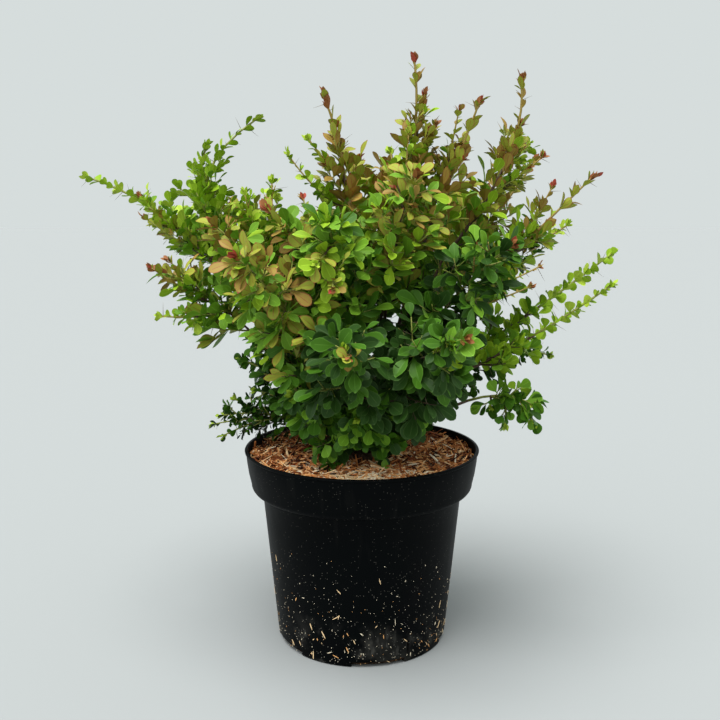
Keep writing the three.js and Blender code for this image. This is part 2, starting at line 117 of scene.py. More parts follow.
def sideways_of(direction: Array) -> Array:
    """Find a level direction square to a limb's, or +X where the limb stands upright.

    Args:
        direction: the limb's direction.

    Returns:
        The level direction, with length one.
    """
    level = np.cross(direction, UP)
    size = float(np.linalg.norm(level))
    if size > UPRIGHT * float(np.linalg.norm(direction)):
        return level / size
    return np.array([1.0, 0.0, 0.0])


def srgb(code: str) -> Colour:
    """Turn a six-digit sRGB code, such as 3d6b22, into linear red, green and blue."""
    parts = (int(code[i : i + 2], 16) / 255 for i in (0, 2, 4))
    return tuple(p / 12.92 if p <= 0.04045 else ((p + 0.055) / 1.055) ** 2.4 for p in parts)


# The source's rule: canes and stems


@dataclass(frozen=True)
class Curve:
    """A quadratic curve, in millimetres."""

    foot: Array
    bend: Array
    tip: Array

    def point(self, share: float | Array) -> Array:
        """Find the point, or points, at a share of the curve."""
        t = np.asarray(share, dtype=float)[..., None]
        return (1 - t) ** 2 * self.foot + 2 * (1 - t) * t * self.bend + t * t * self.tip

    def slope(self, share: float | Array) -> Array:
        """Find the derivative at a share of the curve."""
        t = np.asarray(share, dtype=float)[..., None]
        return 2 * (1 - t) * (self.bend - self.foot) + 2 * t * (self.tip - self.bend)

    def length(self) -> float:
        """Measure the curve from its foot to its tip."""
        points = self.point(np.linspace(0, 1, LENGTH_POINTS))
        return float(np.linalg.norm(np.diff(points, axis=0), axis=1).sum())

    def stretch(self, start: float, end: float) -> Curve:
        """Cut out the stretch between two shares of the curve."""
        foot = self.point(start)
        return Curve(foot, foot + self.slope(start) * (end - start) / 2, self.point(end))

    def branching(self, share: float, turn: float, lean: float) -> Array:
        """Find a direction that leans off the curve.

        Args:
            share: where on the curve.
            turn: the angle round the curve, in radians.
            lean: the angle off the curve's own direction, in radians.

        Returns:
            A direction of length one.
        """
        direction = unit(self.slope(share))
        side = sideways_of(self.tip - self.foot)
        square = unit(side - direction * float(np.dot(side, direction)))
        outward = turned_about(square, direction, turn)
        return direction * math.cos(lean) + outward * math.sin(lean)


class Tint(Enum):
    """The plain colours that leaves are dealt."""

    # SHADE is painted shade: a near-black green for the leaves deep inside the crown
    SHADE = "101f0a"
    DARK = "284517"
    GREEN = "3e6718"
    SOFT = "689327"
    FRESH = "88aa26"
    LIME = "a6bf3e"
    OLIVE = "979f39"
    BRONZE = "98803b"
    COPPER = "935f38"
    RED = "ab4c3d"


@dataclass(frozen=True)
class Habit:
    """How one kind of growth carries its leaves.

    Lengths are in millimetres. ramp runs from the oldest leaves to the youngest, roll is how far
    a leaf may be turned about its midrib, and lean how far it stands off its limb, in degrees.
    """

    foot_leaf: float
    tip_leaf: float
    width: float
    per_node: int
    spacing: float
    droop: float
    ramp: tuple[Tint, ...]
    shoot: bool = False
    bud: tuple[Tint, ...] = (Tint.LIME,)
    twig_step: float = 8.5
    twig_last: float = 0.94
    roll: float = 45.0
    lean: Pair = (36.0, 72.0)


# The letter of each leaf colour, in the colours' order
TINT_LETTERS = dict(zip("sdgoflvbcr", Tint))


def ramp_of(letters: str) -> tuple[Tint, ...]:
    """Read a ramp of leaf colours, one letter for each step from the oldest to the youngest."""
    return tuple(TINT_LETTERS[letter] for letter in letters)


# The darkest steps at a ramp's start, above all s, are partly painted shade for the inner and lower
# leaves
GREEN_RAMP = ramp_of("ssssdsdsdgdgddgdgdg")
LOW_RAMP = ramp_of("sdddgdgogdgogogof")
DARK_RAMP = ramp_of("dgdggo")
ROUND_RAMP = ramp_of("dgogoff")
LIME_RAMP = ramp_of("ssdgogogofogof")
SHOOT_RAMP = ramp_of("dgofoflffl")
PAIRED_RAMP = ramp_of("ofofflfl")
FLUSH_RAMP = ramp_of("gdogogovovofovovbvfbv")
TINGED_RAMP = ramp_of("ssdsdgdgdgdgdgogdgogovb")
BRONZE_RAMP = ramp_of("dgogofovofvfvbvvbvcb")
ROSETTE_RAMP = ramp_of("fvvbvb")
RED_BUD = ramp_of("rcc")

LIME_SHOOT = Habit(
    21, 12, 0.6, 3, 8.0, -0.15, SHOOT_RAMP, True, twig_step=10, twig_last=0.6, lean=(34, 64)
)
PAIRED_SHOOT = Habit(
    21, 12.5, 0.74, 3, 6.6, -0.12, PAIRED_RAMP, True, twig_step=13, twig_last=0.36, roll=85
)
BRONZE_SHOOT = Habit(
    31, 16, 0.48, 3, 13, -0.25, BRONZE_RAMP, True, RED_BUD, 12, 0.58, lean=(30, 62)
)
BRONZE_BODY = Habit(30, 19, 0.48, 4, 11.0, -0.1, BRONZE_RAMP, bud=RED_BUD)
LEAFY = Habit(33, 24, 0.54, 3, 12.0, 0.55, GREEN_RAMP, twig_step=10)
FRESH_BODY = Habit(31, 23, 0.52, 3, 11.0, 0.25, LIME_RAMP, twig_step=9.5)
FLUSHED = Habit(31, 21, 0.5, 3, 10.5, 0.15, FLUSH_RAMP, bud=RED_BUD, twig_step=9.5)
TINGED = Habit(32, 22, 0.52, 3, 11.0, 0.3, TINGED_RAMP, bud=RED_BUD, twig_step=9.5)
LOW = Habit(21, 17, 0.68, 4, 9.0, 0.5, LOW_RAMP, twig_step=9)
SMALL = Habit(13, 9.5, 0.64, 3, 7.0, 0.05, DARK_RAMP, twig_step=9)
DARK_SPRAY = Habit(16, 10, 0.68, 3, 7.5, 0.1, DARK_RAMP, roll=70)
SMALL_LEAVED = Habit(19, 14, 0.64, 3, 8.5, 0.3, DARK_RAMP, twig_step=9)
ROUND = Habit(20, 18, 0.82, 2, 8.5, 0.3, ROUND_RAMP, twig_step=11, roll=80)
SPRIG = Habit(18, 10, 0.5, 3, 9, -0.1, BRONZE_RAMP, True, RED_BUD, lean=(28, 58))
THIN_SPRIG = Habit(11, 6, 0.5, 3, 7, -0.1, BRONZE_RAMP, True, ramp_of("cb"), lean=(28, 58))
LIME_SPRIG = Habit(17, 11, 0.6, 3, 8.0, -0.1, SHOOT_RAMP, True, roll=60)
ROSETTE = Habit(15, 14, 0.6, 4, 8, 0.1, ROSETTE_RAMP, bud=ramp_of("vbc"))
LIME_ROSETTE = Habit(24, 20, 0.6, 4, 8, 0.0, ramp_of("fofvl"))
FRESH_ROSETTE = Habit(27, 24, 0.5, 4, 9, 0.2, ramp_of("gofofl"), bud=ramp_of("c"))


@dataclass(frozen=True)
class MassPlan:
    """One mass of foliage, with the same numbers as in the part's source.

    bearing is in degrees from +X towards the back, reach and height are where the last leaf
    ends, spread is the length of the lowest twigs and enter the share of the cane that is bare.
    led and sway are how far the living stem's tip and bend stray from the plain curve, and slim
    is the share of the spread that its living twigs fill.
    """

    name: str
    bearing: float
    reach: float
    height: float
    spread: float
    enter: float
    habit: Habit
    outward: float = 0.42
    arch: float = 30.0
    first: float = 0.06
    led: Triple = (0.0, 0.0, 0.0)
    sway: Triple = (0.0, 0.0, 0.0)
    slim: float = 1.0


MASSES = (
    MassPlan("far_left", 176, 325, 553, 60, 0.42, LIME_SHOOT,
             arch=62, led=(-4, 0, 4), sway=(0, 0, 8), slim=0.6),
    MassPlan("left_high_outer", 160, 205, 597, 74, 0.44, LIME_SHOOT,
             outward=1.25, sway=(-8, 0, 0), slim=0.86),
    MassPlan("left_high_inner", 154, 146, 621, 66, 0.46, LIME_SHOOT,
             outward=1.6, led=(2, 0, 8), sway=(-60, 0, -8), slim=0.6),
    MassPlan("left_middle", 194, 240, 458, 70, 0.34, FLUSHED, first=0.34, slim=0.86),
    MassPlan("left_body", 200, 180, 510, 80, 0.36, FLUSHED),
    MassPlan("left_low", 203, 150, 372, 72, 0, SMALL_LEAVED, led=(8, 0, 8)),
    MassPlan("low_left", 168, 186, 262, 56, 0, SMALL, first=0.3),
    MassPlan("peak_left", 206, 46, 643, 78, 0.46, BRONZE_SHOOT,
             led=(-2, 0, 5), sway=(20, 0, 0), slim=0.66),
    MassPlan("top_peak", 331, 63, 681, 64, 0.46, BRONZE_SHOOT,
             outward=0.9, led=(3, 0, 8), sway=(17, 0, 0), slim=0.6),
    MassPlan("peak_middle", 347, 137, 643, 76, 0.46, BRONZE_SHOOT, sway=(12, 0, 0), slim=0.56),
    MassPlan("peak_right", 6, 186, 668, 70, 0.44, BRONZE_SHOOT,
             outward=0.65, led=(2, 0, 4), sway=(50, 0, -6), slim=0.5),
    MassPlan("right_high", 20, 232, 580, 74, 0.4, BRONZE_SHOOT, sway=(16, 0, -6)),
    MassPlan("right_wide", 356, 268, 559, 72, 0.4, BRONZE_SHOOT, sway=(14, 0, -16), slim=0.66),
    MassPlan("far_right_upper", 11, 319, 466, 50, 0.4, PAIRED_SHOOT,
             arch=8, led=(2, 0, 0), sway=(6, 0, -18), slim=0.55),
    MassPlan("far_right_lower", 355, 293, 431, 50, 0.4, PAIRED_SHOOT,
             arch=12, led=(1, 0, 3), sway=(8, 0, -25), slim=0.6),
    MassPlan("low_right", 14, 249, 328, 56, 0.34, DARK_SPRAY,
             led=(0, 0, 8), sway=(0, 0, 42), slim=0.62),
    MassPlan("bottom_right", 347, 210, 308, 46, 0, ROUND,
             first=0.66, led=(4, 0, -10), sway=(34, 0, 26)),
    MassPlan("front_left", 234, 220, 480, 80, 0.3, FLUSHED),
    MassPlan("front_top", 256, 150, 520, 80, 0.34, FRESH_BODY),
    MassPlan("front_high", 300, 120, 565, 80, 0.4, FLUSHED),
    MassPlan("front_middle", 265, 226, 395, 80, 0.28, LEAFY),
    MassPlan("front_right", 294, 226, 395, 80, 0.28, LEAFY),
    MassPlan("right_front", 322, 205, 490, 80, 0.3, TINGED),
    MassPlan("front_low", 268, 128, 300, 66, 0, LOW),
    MassPlan("front_low_right", 306, 128, 310, 66, 0, LOW),
    MassPlan("front_low_left", 236, 145, 325, 72, 0, LOW),
    MassPlan("back_left", 135, 255, 530, 84, 0.34, FLUSHED),
    MassPlan("back_top", 86, 120, 620, 84, 0.42, BRONZE_BODY, led=(24, 0, -44)),
    MassPlan("back_middle", 97, 255, 470, 84, 0.32, LEAFY),
    MassPlan("back_right", 52, 250, 545, 84, 0.34, FRESH_BODY),
    MassPlan("back_low_left", 128, 205, 340, 80, 0, LOW),
    MassPlan("back_low_right", 62, 222, 345, 80, 0, LOW),
)


@dataclass(frozen=True)
class SideShoot:
    """A shoot that stands out of a mass: where it leaves the stem and where its tip is."""

    mass: str
    share: float
    tip: Triple
    spread: float
    habit: Habit
    lift: float = -0.06

    def line(self, stem: Curve) -> Curve:
        """Draw the shoot from its mass's stem, hanging a little before it rises.

        Args:
            stem: the mass's stem.

        Returns:
            The shoot's line.
        """
        foot, tip = stem.point(self.share), np.array(self.tip)
        length = float(np.linalg.norm(tip - foot))
        return Curve(foot, (foot + tip) / 2 + UP * length * self.lift, tip)


SIDE_SHOOTS = (
    SideShoot("left_body", 0.45, (-102, -10, 547), 34, LIME_SPRIG),
    SideShoot("left_body", 0.5, (-131, -30, 532), 30, LIME_SPRIG),
    SideShoot("left_low", 0.5, (-140, -20, 340), 32, SMALL_LEAVED),
    SideShoot("left_low", 0.3, (-128, -20, 306), 28, SMALL_LEAVED),
    SideShoot("peak_left", 0.3, (-83, -10, 574), 8, LIME_SPRIG, -0.2),
    SideShoot("peak_left", 0.45, (-59, -20, 590), 8, LIME_SPRIG),
    SideShoot("front_top", 0.5, (-63, -80, 525), 20, SPRIG),
    SideShoot("front_top", 0.55, (-101, -80, 514), 22, FLUSHED),
    SideShoot("left_middle", 0.5, (-222, -70, 398), 16, LIME_SPRIG),
    SideShoot("far_left", 0.4, (-258, 10, 529), 10, SPRIG, -0.15),
    SideShoot("left_middle", 0.6, (-214, -50, 458), 16, SPRIG),
    SideShoot("front_top", 0.7, (-29, -178, 436), 16, SPRIG),
    SideShoot("front_top", 0.8, (-46, -172, 460), 0, LIME_ROSETTE),
    SideShoot("front_middle", 0.75, (-13, -218, 378), 0, ROSETTE),
    SideShoot("front_right", 0.6, (98, -200, 392), 0, FRESH_ROSETTE, 0.1),
    SideShoot("left_middle", 0.55, (-231, -60, 450), 12, SPRIG),
    SideShoot("far_left", 0.22, (-248, -10, 504), 14, SPRIG),
    SideShoot("front_high", 0.6, (52, -30, 604), 6, LIME_SPRIG),
    SideShoot("top_peak", 0.45, (69, -25, 638), 10, SPRIG),
    SideShoot("top_peak", 0.2, (82, -20, 606), 26, SPRIG),
    SideShoot("peak_middle", 0.35, (108, -25, 625), 10, SPRIG, 0.05),
    SideShoot("peak_right", 0.62, (185, 20, 612), 0, SPRIG),
    SideShoot("peak_right", 0.45, (198, 40, 590), 20, LIME_SPRIG),
    SideShoot("peak_right", 0.3, (210, 20, 574), 14, SPRIG),
    SideShoot("right_wide", 0.4, (221, 10, 540), 14, SPRIG),
    SideShoot("right_wide", 0.45, (240, 0, 497), 12, LIME_SPRIG),
    SideShoot("right_wide", 0.3, (220, 20, 472), 10, SMALL),
    SideShoot("right_front", 0.5, (195, -60, 452), 0, THIN_SPRIG),
    SideShoot("right_front", 0.4, (186, -60, 430), 0, THIN_SPRIG),
    SideShoot("front_high", 0.7, (31, -40, 576), 5, LIME_SPRIG),
    SideShoot("bottom_right", 0.66, (148, -42, 290), 12, ROUND, 0.15),
    SideShoot("bottom_right", 0.78, (165, -42, 268), 14, ROUND, 0.15),
    SideShoot("bottom_right", 0.9, (197, -42, 272), 12, ROUND, 0.15),
    SideShoot("low_left", 0.5, (-183, 30, 252), 20, SMALL, 0.05),
    SideShoot("low_left", 0.55, (-170, 20, 240), 16, SMALL, 0.05),
    SideShoot("low_left", 0.4, (-157, 30, 284), 22, SMALL),
)


@dataclass(frozen=True)
class CaneRule:
    """How the canes leave the stool and lead out to the tips, as in the part's source."""

    seat: float = 35.0
    foot_radius: float = 3.5
    tip_radius: float = 0.9
    sunk: float = 7.0
    rise: float = 0.62
    bow: float = 7.0
    tries: int = 21
    room: float = 1.2
    checks: int = 40
    trades: int = 20
    steepest: float = math.radians(85)
    stool_height: float = 26.0
    compost_level: float = 212.0
    gap: float = 0.3
    leaf_share: float = 0.9
    shoot_leaf: float = 24.0
    body_leaf: float = 38.0

    def furthest(self, plan: MassPlan) -> Array:
        """Find where the last leaf of a mass ends."""
        turn = math.radians(plan.bearing)
        return np.array([plan.reach * math.cos(turn), plan.reach * math.sin(turn), plan.height])

    def inward(self, plan: MassPlan) -> Array:
        """Find the direction from a mass's furthest point to the stool's head."""
        head = np.array([0.0, 0.0, self.compost_level + self.stool_height])
        return unit(head - self.furthest(plan))

    def tip_of(self, plan: MassPlan) -> Array:
        """Find where a stem ends: short of the furthest point by its last leaf."""
        leaf = self.shoot_leaf if plan.habit.shoot else self.body_leaf
        return self.furthest(plan) + self.inward(plan) * leaf * self.leaf_share

    def lean_of(self, plan: MassPlan) -> float:
        """Find how far a mass leans out from upright."""
        return math.atan2(plan.reach, plan.height - self.compost_level - self.stool_height)

    def wanted_seat(self, plan: MassPlan) -> Array:
        """Find where a cane wants to leave the stool."""
        return unit(self.tip_of(plan)[:2]) * (self.seat * self.lean_of(plan) / self.steepest)

    def seats(self, plans: Sequence[MassPlan]) -> Array:
        """Give each mass its seat on a sunflower's spiral, traded until canes hardly cross.

        Args:
            plans: the masses.

        Returns:
            A seat (x, y) for each mass.
        """
        count = len(plans)
        steps = np.arange(count)
        radii = self.seat * np.sqrt((steps + 0.5) / count)
        turns = steps * GOLDEN_ANGLE
        seats = np.stack([radii * np.cos(turns), radii * np.sin(turns)], axis=1)
        wanted = np.array([self.wanted_seat(plan) for plan in plans])
        miss = ((wanted[:, None] - seats[None]) ** 2).sum(axis=2)
        order = list(range(count))
        for _ in range(self.trades):
            for i in range(count):
                for j in range(i + 1, count):
                    a, b = order[i], order[j]
                    if miss[i, b] + miss[j, a] < miss[i, a] + miss[j, b]:
                        order[i], order[j] = b, a
        return seats[order]

    def line(self, plan: MassPlan, seat: Array, bow: float) -> Curve:
        """Draw the whole line of a cane and its stem.

        Args:
            plan: the mass that it leads to.
            seat: where it leaves the stool.
            bow: how far its middle is led to one side.

        Returns:
            The curve from the stool to the stem's tip.
        """
        tip = self.tip_of(plan)
        head = self.compost_level + self.gap + self.stool_height
        foot = np.array([seat[0], seat[1], head - self.sunk])
        bend = foot + (tip - foot) * np.array([plan.outward, plan.outward, self.rise])
        bend[2] += plan.arch
        return Curve(foot, bend + unit(np.array([-tip[1], tip[0], 0.0])) * bow, tip)

    def radius(self, share: float | Array) -> Array:
        """Find the radius of a cane, or of its stem, at a share of its whole line."""
        taper = np.sqrt(np.asarray(share, dtype=float))
        return self.foot_radius + (self.tip_radius - self.foot_radius) * taper

    def pass_clear(self, points: Array, rival: Array) -> bool:
        """Tell whether two canes stay further apart than both are thick.

        Args:
            points: points on one cane.
            rival: points on the other.

        Returns:
            True if they do.
        """
        radii = self.radius(np.linspace(0, 1, self.checks + 1))
        apart = np.linalg.norm(points[:, None] - rival[None], axis=2)
        return bool((apart > radii[:, None] + radii[None] + self.room).all())

    def lead(self, plans: Sequence[MassPlan]) -> list[Curve]:
        """Lead each cane past the ones before it, outermost first.

        Args:
            plans: the masses.

        Returns:
            One curve for each mass.
        """
        seats = self.seats(plans)
        shares = np.linspace(0, 1, self.checks + 1)
        lines: dict[int, Curve] = {}
        taken: list[Array] = []
        for i in sorted(range(len(plans)), key=lambda k: -self.lean_of(plans[k])):
            bows = [math.ceil(k / 2) * self.bow * (-1) ** k for k in range(self.tries)]
            choices = [self.line(plans[i], seats[i], bow) for bow in bows]
            clear = (c for c in choices if all(self.pass_clear(c.point(shares), t) for t in taken))
            lines[i] = next(clear, choices[0])
            taken.append(lines[i].point(shares))
        return [lines[i] for i in range(len(plans))]


CANES = CaneRule()


# Growth: twigs, branchlets, leaves and spines


@dataclass(frozen=True)
class PotSizes:
    """The pot's sizes, as in the part's source, and the room that foliage leaves round it."""

    height: float = 233.0
    wall: float = 2.2
    floor: float = 2.6
    base_radius: float = 102.0
    wall_top_radius: float = 119.4
    band_foot: float = 182.0
    band_curve: float = 11.0
    band_foot_radius: float = 132.5
    band_top_radius: float = 138.2
    lip_radius: float = 140.0
    lip_height: float = 3.2
    bark_level: float = 223.0
    mulch_room: float = 2.0
    rim_room: float = 3.0
    side_room: float = 5.0
    inside_rim: float = 131.0

    def wall_radius(self, height: float) -> float:
        """Find the outer radius of the wall at a height."""
        return lerp(self.base_radius, self.wall_top_radius, height / self.band_foot)

    def clears(self, points: Array) -> Array:
        """Tell which points are clear of the mulch and of the rim.

        Args:
            points: the points.

        Returns:
            True for each point that is clear.
        """
        radii = np.hypot(points[:, 0], points[:, 1])
        over_mulch = points[:, 2] > self.bark_level + self.mulch_room
        over_rim = (points[:, 2] > self.height + self.rim_room) | (radii < self.inside_rim)
        return (radii > self.lip_radius + self.side_room) | (over_mulch & over_rim)


@dataclass(frozen=True)
class GrowthRule:
    """How a mass fills its space: the source's rule, carried to finer twigs.

    Youth runs from 0 for the oldest growth to 1 for the youngest, by how far along its axis and how
    high up it stands. Leaf colours follow it, darkest on the inner and lower leaves: partly the
    darker green of old leaves, partly painted shade.
    """

    seed: int = 9
    crown_middle: Triple = (0.0, 0.0, 360.0)
    space_checks: int = 12
    overreach: float = 16.0
    leaf_overreach: float = 22.0
    free_reach: float = 500.0
    lean: float = math.radians(50)
    shoot_lean: float = math.radians(36)
    sway: float = 0.12
    lift: float = 0.11
    shorten: float = 0.82
    upward: float = 0.45
    young_height: Pair = (300.0, 620.0)
    youth_by_reach: float = 0.55
    youth_by_height: float = 0.3
    # Only leaves within this radius of the upright axis keep SHADE, the painted shade of the
    # crown's inside; others get DARK
    shade_radius: float = 105.0
    tip_leaf_share: float = 0.8
    stem_rows: int = 10
    stem_sides: int = 6
    stem_youth: Pair = (0.3, 0.8)
    leafy_from: float = 0.1
    judged_at: float = 0.75
    stout: float = 1.3
    shoot_first: float = 0.15
    shoot_foot: float = 1.5
    shoot_taper: float = 0.7

    def shoot_radius(self, shares: Array) -> Array:
        """Find the radius of a shoot that stands out of a mass, at shares of its length."""
        return self.shoot_foot - self.shoot_taper * shares


@dataclass(frozen=True)
class TwigRule:
    """The sizes of a twig, and how long or young it is to bear spines or a tuft.

    A twig is at most as long as its place says, times a number drawn from vary, plus extra.
    radii are at its foot and its tip, and bare is the share of it below its first leaves.
    """

    least: float = 10.0
    extra: float = 6.0
    vary: Pair = (0.75, 1.15)
    radii: Pair = (1.1, 0.6)
    steps: int = 4
    bare: float = 0.2
    youth_sway: float = 0.12
    spiny: float = 30.0
    tufted: float = 22.0
    tuft_youth: float = 0.66


@dataclass(frozen=True)
class BranchletRule:
    """The finer twigs that stand off a twig, each turned on from the last by half_turns.

    There is one for each step of the filled share of the twig, and they stand on the stretch
    between two shares of it.
    """

    step: float = 10.0
    filled: float = 0.7
    stretch: Pair = (0.15, 0.85)
    half_turns: float = 0.8
    share: float = 0.42
    extra: float = 9.0
    least: float = 7.0
    radii: Pair = (0.75, 0.45)
    steps: int = 3
    bare: float = 0.35


@dataclass(frozen=True)
class LeafRule:
    """How the leaves of a spray differ, and how sprays follow each other along a limb.

    place is where in its step a spray stands, fan how far its leaves stand apart round the limb
    and closing how much less they lean at its tip. A leaf that points to the light, so that the
    part of its way there that is square to it is shorter than least_across, faces sideways.
    The point at tested_at, a share of a leaf's length, has to stay in the space.
    """

    length: Pair = (0.6, 1.14)
    width: Pair = (0.86, 1.14)
    tint_sway: float = 0.05
    place: Pair = (0.2, 0.7)
    youth_along: float = 0.1
    spray_sway: float = 0.13
    fan: Pair = (0.8, 1.4)
    closing: float = 0.35
    last_lean: float = math.radians(8)
    last_youth: float = 0.12
    least_across: float = 0.1
    tested_at: float = 0.9


@dataclass(frozen=True)
class SpineRule:
    """The thin spines under some sprays: side is in half turns from the spray, lean in degrees."""

    chance: float = 0.6
    side: Pair = (0.7, 1.3)
    lean: Pair = (60.0, 88.0)
    length: Pair = (8.0, 20.0)
    radii: Pair = (0.42, 0.06)
    sides: int = 3


@dataclass(frozen=True)
class TuftRule:
    """The tuft of opening leaves that closes a shoot.

    leaves is the range of their number, its end left out, lean is in degrees, and depth is how
    far below the tip they may start. Shoots younger than coloured_from have the bud's colours.
    size and size_by_leaf give the tuft of an axis its size, by how long the axis's leaves are.
    """

    leaves: tuple[int, int] = (6, 9)
    lean: Pair = (4.0, 38.0)
    near_tip: float = 0.99
    depth: float = 6.0
    length: Pair = (5.0, 9.5)
    width: float = 0.46
    coloured_from: float = 0.5
    size: float = 0.72
    size_by_leaf: float = 0.027


POT = PotSizes()
RULE = GrowthRule()
TWIG = TwigRule()
BRANCHLET = BranchletRule()
LEAF = LeafRule()
SPINE = SpineRule()
TUFT = TuftRule()


@dataclass(frozen=True)
class Space:
    """The part of the crown that is nearer to a mass's own stem than to any other's.

    own and others are points on stems.
    """

    own: Array
    others: Array

    def holds(self, points: Array, over: float) -> Array:
        """Tell which points lie in the space, or less than a distance outside it.

        Args:
            points: the points.
            over: the distance by which they may reach over.

        Returns:
            True for each point that does.
        """
        own = np.linalg.norm(points[:, None] - self.own[None], axis=2).min(axis=1)
        other = np.linalg.norm(points[:, None] - self.others[None], axis=2).min(axis=1)
        return (other > own - over) & POT.clears(points)


@dataclass(frozen=True)
class Limb:
    """A stem, twig, branchlet or spine: its line, its radii and its age."""

    points: Array
    radii: Array
    youth: float
    sides: int


@dataclass(frozen=True)
class Leaf:
    """One leaf: where it stands, where it points and faces, its size and its colour."""

    foot: Array
    along: Array
    face: Array
    length: float
    width: float
    tint: Tint


@dataclass
class Axis:
    """What grows on one axis: a mass's stem, or a shoot that stands off it.

    spread is the length of its lowest twigs, first the share of it where the lowest one stands,
    and over how far twigs and leaves may reach over the space that it fills.
    """

    curve: Curve
    habit: Habit
    spread: float
    first: float
    space: Space
    over: float
    random: np.random.Generator
    length: float = field(init=False)
    limbs: list[Limb] = field(default_factory=list)
    spines: list[Limb] = field(default_factory=list)
    leaves: list[Leaf] = field(default_factory=list)

    def __post_init__(self) -> None:
        """Measure the axis."""
        self.length = self.curve.length()

    def between(self, low: float, high: float) -> float:
        """Draw a number between two limits."""
        return float(self.random.uniform(low, high))

    def around(self, most: float) -> float:
        """Draw a number at most so far above or below 0."""
        return self.between(-most, most)

    def reached(self, place: Array) -> float:
        """Find how far along the axis a place is, from 0 at its foot to 1 at its tip."""
        return clamp(float(np.linalg.norm(place - self.curve.foot)) / self.length)

    def youth_at(self, place: Array) -> float:
        """Find how young the growth is at a place: most at the tips and at the top.

        Args:
            place: the place.

        Returns:
            Its youth.
        """
        low, high = RULE.young_height
        height = clamp((float(place[2]) - low) / (high - low))
        return RULE.youth_by_reach * self.reached(place) + RULE.youth_by_height * height

    def tint_at(self, youth: float) -> Tint:
        """Choose a leaf's colour from the habit's ramp."""
        ramp = self.habit.ramp
        return ramp[int(clamp(youth, 0, LAST_SHARE) * len(ramp))]

    def facing(self, along: Array, foot: Array) -> Array:
        """Turn a leaf to the light, out of the crown and up, but rolled a little to one side.

        Args:
            along: where the leaf points.
            foot: where it stands.

        Returns:
            The direction its upper side faces.
        """
        out = unit(foot - np.array(RULE.crown_middle))
        out = np.array([out[0], out[1], max(float(out[2]), 0.0)]) + UP * RULE.upward
        square = out - along * float(np.dot(out, along))
        if np.linalg.norm(square) < LEAF.least_across:
            square = sideways_of(along)
        return turned_about(unit(square), along, self.around(math.radians(self.habit.roll)))

    def add_leaf(self, curve: Curve, share: float, turn: float, lean: float, youth: float) -> None:
        """Stand one leaf off a limb.

        Args:
            curve: the limb's line.
            share: where on it.
            turn: the angle round the limb.
            lean: the angle off the limb.
            youth: how young the spray is.
        """
        foot = curve.point(share)
        along = unit(curve.branching(share, turn, lean) - UP * self.habit.droop)
        full = lerp(self.habit.foot_leaf, self.habit.tip_leaf, self.reached(foot))
        length = full * self.between(*LEAF.length)
        width = self.habit.width * self.between(*LEAF.width)
        tint = self.tint_at(youth + self.around(LEAF.tint_sway))
        # SHADE is painted shade, kept for leaves deep inside the crown
        if tint is Tint.SHADE and math.hypot(foot[0], foot[1]) > RULE.shade_radius:
            tint = Tint.DARK
        self.leaves.append(Leaf(foot, along, self.facing(along, foot), length, width, tint))

    def add_nodes(self, curve: Curve, start: float, youth: float, spines: bool) -> None:
        """Set sprays of leaves along a limb, and a spine under some of them.

        Args:
            curve: the limb's line.
            start: the share of it where the first spray stands.
            youth: how young the limb is.
            spines: whether spines show.
        """
        count = max(1, round(curve.length() * (1 - start) / self.habit.spacing))
        phase = self.between(0, math.tau)
        most = self.habit.per_node
        for k in range(count):
            share = lerp(start, 1, (k + self.between(*LEAF.place)) / count)
            turn = phase + k * GOLDEN_ANGLE
            spray = youth + LEAF.youth_along * share + self.around(LEAF.spray_sway)
            for leaf in range(int(self.random.integers(max(2, most - 1), most + 1))):
                spread = turn + (leaf - (most - 1) / 2) * self.between(*LEAF.fan)
                lean = math.radians(self.between(*self.habit.lean))
                self.add_leaf(curve, share, spread, lean * (1 - LEAF.closing * share**3), spray)
            if spines and self.random.random() < SPINE.chance:
                self.add_spine(curve, share, turn + math.pi * self.between(*SPINE.side))
        if curve is not self.curve:
            self.add_leaf(curve, 1, phase, LEAF.last_lean, youth + LEAF.last_youth)

    def add_spine(self, curve: Curve, share: float, turn: float) -> None:
        """Stand a thin spine off a limb.

        Args:
            curve: the limb's line.
            share: where on it.
            turn: the angle round the limb.
        """
        foot = curve.point(share)
        along = curve.branching(share, turn, math.radians(self.between(*SPINE.lean)))
        points = np.stack([foot, foot + along * self.between(*SPINE.length)])
        self.spines.append(Limb(points, np.array(SPINE.radii), 0, SPINE.sides))

    def add_tuft(self, curve: Curve, youth: float, size: float) -> None:
        """Close a shoot with its bud: a dense tuft of narrow leaves that are just opening.

        Args:
            curve: the shoot's line.
            youth: how young the shoot is.
            size: how large the tuft is, as a share of the usual.
        """
        foot = curve.point(1.0)
        phase = self.between(0, math.tau)
        bud = self.habit.bud
        coloured = youth > TUFT.coloured_from
        for k in range(int(self.random.integers(*TUFT.leaves) * size)):
            lean = math.radians(self.between(*TUFT.lean))
            along = curve.branching(TUFT.near_tip, phase + k * GOLDEN_ANGLE, lean)
            low = foot - unit(curve.slope(1.0)) * self.between(0, TUFT.depth) * size
            tint = bud[int(self.random.integers(len(bud)))] if coloured else self.tint_at(1)
            face = self.facing(along, low) * (-1) ** k
            length = self.between(*TUFT.length) * size
            self.leaves.append(Leaf(low, along, face, length, TUFT.width, tint))

    def fitted(self, foot: Array, direction: Array, full: float, least: float) -> Curve | None:
        """Shorten a twig until it stays in the space: straight at first, then lifting to light.

        Args:
            foot: where it stands.
            direction: where it points.
            full: its wanted length.
            least: the length below which it is left out.

        Returns:
            The twig's line, or None.
        """
        length = full
        while length > least:
            tip = foot + direction * length + UP * RULE.lift * length
            curve = Curve(foot, foot + direction * length / 2, tip)
            if self.space.holds(curve.point(np.array([0.5, 1.0])), self.over).all():
                return curve
            length *= RULE.shorten
        return None

